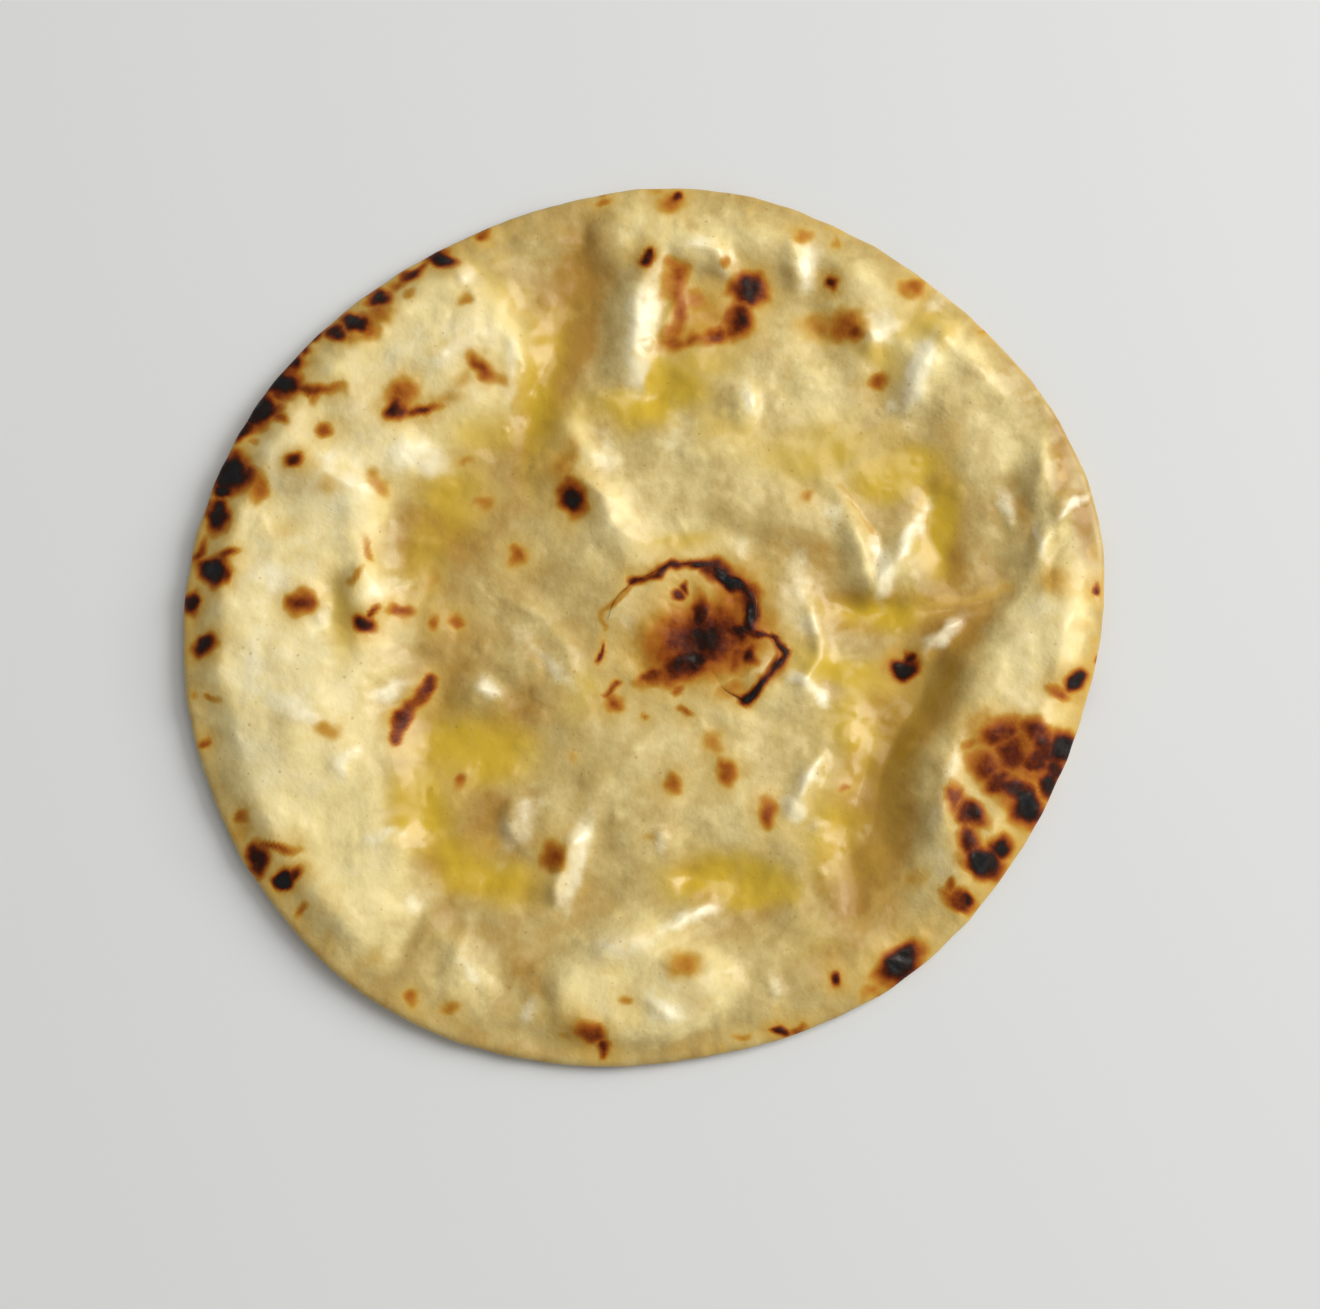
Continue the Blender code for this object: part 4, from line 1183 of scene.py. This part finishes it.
def bran_group():
    """Small brown flecks of bran in the dough."""
    wiring, given, leave = group(
        "Bran Flecks",
        [("Vector", "vector"), ("Color", "colour"), ("Amount", "value"), ("Bran", "colour")],
        [("Color", "colour")],
    )
    cells = wiring.node("ShaderNodeTexVoronoi", Vector=given["Vector"], Scale=620.0)
    chosen = wiring.node("ShaderNodeSeparateColor", Color=cells.outputs["Color"])
    reach = wiring.calc("MULTIPLY_ADD", chosen.outputs[1], 0.20, 0.08)
    near = wiring.calc("SUBTRACT", reach, cells.outputs["Distance"])
    fleck = wiring.step(near, 0.0, 0.08)
    some = wiring.step(chosen.outputs[0], 0.62, 0.95)
    cover = wiring.calc("MULTIPLY", wiring.calc("MULTIPLY", fleck, some), given["Amount"])
    wiring.feed(leave.inputs["Color"], wiring.mix(cover, given["Color"], given["Bran"]))


def crumb_group():
    """Height of the skin's fine texture: soft wrinkles, grains and pits, smoother under ghee."""
    wiring, given, leave = group(
        "Crumb Bump",
        [("Vector", "vector"), ("Wet", "value"), ("Char", "value")],
        [("Height", "value")],
    )
    wrinkles = wiring.noise(given["Vector"], 330.0, 4.0, 0.6, 0.6)
    grains = wiring.noise(given["Vector"], 1300.0, 3.0, 0.6)
    pits = wiring.node("ShaderNodeTexVoronoi", Vector=given["Vector"], Scale=760.0).outputs["Distance"]
    fine = wiring.calc("MULTIPLY_ADD", pits, 0.35, wiring.calc("MULTIPLY", grains, 0.45))
    less = wiring.calc("MULTIPLY_ADD", given["Wet"], -0.75, 1.0)
    more = wiring.calc("MULTIPLY_ADD", given["Char"], 0.8, less)
    wiring.feed(leave.inputs["Height"], wiring.calc("MULTIPLY_ADD", fine, more, wrinkles))


# Gloss of the crust: of plain dough, what ghee, crests and char add, and what toasting takes away
GLAZE, GHEE_GLAZE, CREST_GLAZE, CHAR_GLAZE, TOAST_DULLING = 0.42, 0.40, 0.55, 0.30, -0.92
BRAN_AMOUNT = 0.35


def crust_material(name, colours, roughness, bump):
    """Baked dough: its tone, flecks and scorching, glossier where the ghee lies."""
    material = bpy.data.materials.new(name)
    material.use_nodes = True
    tree = material.node_tree
    surface = tree.nodes["Principled BSDF"]
    surface.location = (1900, 0)
    tree.nodes["Material Output"].location = (2250, 0)
    wiring = Wiring(tree)
    place = wiring.node("ShaderNodeTexCoord").outputs["Object"]
    burn, ghee, puff, crest = (
        wiring.node("ShaderNodeAttribute", {"attribute_name": label}).outputs["Fac"]
        for label in ("burn", "ghee", "puff", "crest")
    )

    def use(label, **inputs):
        return wiring.node("ShaderNodeGroup", {"node_tree": bpy.data.node_groups[label]}, **inputs).outputs

    tone = use(
        "Dough Tone",
        Vector=place,
        Puff=puff,
        Ghee=ghee,
        Crest=crest,
        Pale=linear(colours.pale),
        Cream=linear(colours.cream),
        Dough=linear(colours.dough),
        Valley=linear(colours.valley),
        Ghee_Colour=linear(colours.ghee),
    )
    bran = linear(colours.bran)
    flecked = use("Bran Flecks", Vector=place, Color=tone["Color"], Amount=BRAN_AMOUNT, Bran=bran)
    scorched = use("Scorch Colour", Vector=place, Burn=burn, Color=flecked["Color"])
    crumb = use("Crumb Bump", Vector=place, Wet=tone["Wet"], Char=scorched["Char"])
    wiring.feed(surface.inputs["Base Color"], scorched["Color"])
    dull = wiring.calc("MULTIPLY_ADD", tone["Wet"], -0.10, roughness)
    wiring.feed(surface.inputs["Roughness"], wiring.calc("MULTIPLY_ADD", scorched["Char"], -0.06, dull))
    glaze = wiring.calc("MULTIPLY_ADD", tone["Wet"], GHEE_GLAZE, GLAZE)
    glaze = wiring.calc("MULTIPLY_ADD", tone["Crest"], CREST_GLAZE, glaze, clamp=True)
    untoasted = wiring.calc("MULTIPLY_ADD", scorched["Toast"], TOAST_DULLING, 1.0)
    glaze = wiring.calc("MULTIPLY", glaze, untoasted)
    glaze = wiring.calc("MULTIPLY_ADD", scorched["Char"], CHAR_GLAZE, glaze, clamp=True)
    wiring.feed(surface.inputs["Coat Weight"], glaze)
    surface.inputs["Coat Roughness"].default_value = 0.22
    surface.inputs["Metallic"].default_value = 0.0
    surface.inputs["Specular IOR Level"].default_value = 0.12
    raised = wiring.node("ShaderNodeBump", Height=crumb["Height"], Strength=1.0, Distance=bump)
    wiring.feed(surface.inputs["Normal"], raised.outputs["Normal"])
    return material


# ---- the stage ------------------------------------------------------------------------------


def floor_material(colours):
    """A plain pale floor with little shine."""
    material = bpy.data.materials.new("pale_floor")
    material.use_nodes = True
    surface = material.node_tree.nodes["Principled BSDF"]
    surface.inputs["Base Color"].default_value = linear(colours.floor)
    surface.inputs["Roughness"].default_value = 0.6
    surface.inputs["Specular IOR Level"].default_value = 0.3
    return material


def make_floor(colours):
    """A wide floor just under the bread."""
    deselect_all()
    bpy.ops.mesh.primitive_plane_add(size=FLOOR_SIZE, location=(0, 0, -FLOOR_DROP))
    floor = bpy.context.object
    floor.name = floor.data.name = "floor"
    bpy.ops.object.transform_apply(location=True, rotation=True, scale=True)
    floor.data.materials.append(floor_material(colours))


def facing(place, target):
    """The turn that points a camera or a light at `place` towards `target`."""
    return (Vector(target) - Vector(place)).to_track_quat("-Z", "Y").to_euler()


def soft_light(name, azimuth, elevation, distance, size, power, colour):
    """A square soft light that looks at the bread from this side."""
    turn, rise = math.radians(azimuth), math.radians(elevation)
    place = (
        distance * math.cos(rise) * math.cos(turn),
        distance * math.cos(rise) * math.sin(turn),
        distance * math.sin(rise),
    )
    bpy.ops.object.light_add(type="AREA", location=place, rotation=facing(place, (0, 0, 0)))
    lamp = bpy.context.object
    lamp.name = lamp.data.name = name
    lamp.data.shape = "SQUARE"
    lamp.data.size = size
    lamp.data.energy = power
    lamp.data.color = colour


def make_lights():
    """The soft lights and the pale room round them."""
    for light in LIGHTS:
        soft_light(*light)
    world = bpy.data.worlds.new("soft_room")
    world.use_nodes = True
    backdrop = world.node_tree.nodes["Background"]
    backdrop.inputs["Color"].default_value = ROOM_COLOUR
    backdrop.inputs["Strength"].default_value = ROOM_STRENGTH
    bpy.context.scene.world = world
    bpy.context.scene.view_settings.view_transform = "Standard"


def make_camera():
    """A camera that looks down at the bread, leaning a little towards the viewer."""
    rise = math.radians(CAMERA_ELEVATION)
    aim = Vector(CAMERA_AIM)
    place = aim + CAMERA_DISTANCE * Vector((0, -math.cos(rise), math.sin(rise)))
    bpy.ops.object.camera_add(location=place, rotation=facing(place, aim))
    camera = bpy.context.object
    camera.name = camera.data.name = "camera"
    camera.data.lens = CAMERA_LENS
    camera.data.sensor_width = 36
    camera.data.clip_start = 0.01
    bpy.context.scene.camera = camera


# ---- the add-on -----------------------------------------------------------------------------


class CHAPATI_OT_bread(bpy.types.Operator):
    """Model the bread: its puffed upper skin, its underside and its scorched crust"""

    bl_idname = "chapati.bread"
    bl_label = "Bread"

    def execute(self, context):
        for build in (dough_tone_group, scorch_group, bran_group, crumb_group):
            build()
        colours = context.scene.chapati_colours
        material = crust_material("chapati_crust", colours, roughness=0.52, bump=0.00013)
        bread = make_bread(context.scene.chapati_shape, material)
        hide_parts(NODE)
        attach(bread, BODY)
        return {"FINISHED"}


class CHAPATI_OT_blister_skin(bpy.types.Operator):
    """Model the torn, curled skin of the burst blister in the middle"""

    bl_idname = "chapati.blister_skin"
    bl_label = "Blister skin"

    def execute(self, context):
        bread = bpy.data.objects["bread"]
        colours = context.scene.chapati_colours
        material = crust_material("blister_crust", colours, roughness=0.44, bump=0.00012)
        skin = make_blister_skin(bread, context.scene.chapati_shape, material)
        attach(skin, BODY)
        return {"FINISHED"}


class CHAPATI_OT_stage(bpy.types.Operator):
    """Set the floor, the soft light and the camera"""

    bl_idname = "chapati.stage"
    bl_label = "Stage"

    def execute(self, context):
        make_floor(context.scene.chapati_colours)
        make_lights()
        make_camera()
        return {"FINISHED"}


class CHAPATI_PT_panel(bpy.types.Panel):
    """The bread's sizes and colours, and a button for each piece"""

    bl_idname = "CHAPATI_PT_panel"
    bl_label = "Chapati"
    bl_space_type = "VIEW_3D"
    bl_region_type = "UI"
    bl_category = "Chapati"

    def draw(self, context):
        layout = self.layout
        for settings in (context.scene.chapati_shape, context.scene.chapati_colours):
            box = layout.box()
            for name in settings.__annotations__:
                box.prop(settings, name)
        for piece in OPERATORS:
            layout.operator(piece.bl_idname)


OPERATORS = (CHAPATI_OT_bread, CHAPATI_OT_blister_skin, CHAPATI_OT_stage)
CLASSES = (ChapatiShape, ChapatiColours, *OPERATORS, CHAPATI_PT_panel)


def register():
    """Adds the operators, the panel and the scene's settings."""
    for made in CLASSES:
        bpy.utils.register_class(made)
    bpy.types.Scene.chapati_shape = bpy.props.PointerProperty(type=ChapatiShape)
    bpy.types.Scene.chapati_colours = bpy.props.PointerProperty(type=ChapatiColours)


def unregister():
    """Takes away what register added."""
    del bpy.types.Scene.chapati_colours
    del bpy.types.Scene.chapati_shape
    for made in reversed(CLASSES):
        bpy.utils.unregister_class(made)


def main():
    """Builds the bread and the stage."""
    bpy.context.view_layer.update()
    register()
    bpy.ops.chapati.bread()
    bpy.ops.chapati.blister_skin()
    bpy.ops.chapati.stage()


if __name__ == "__main__":
    main()
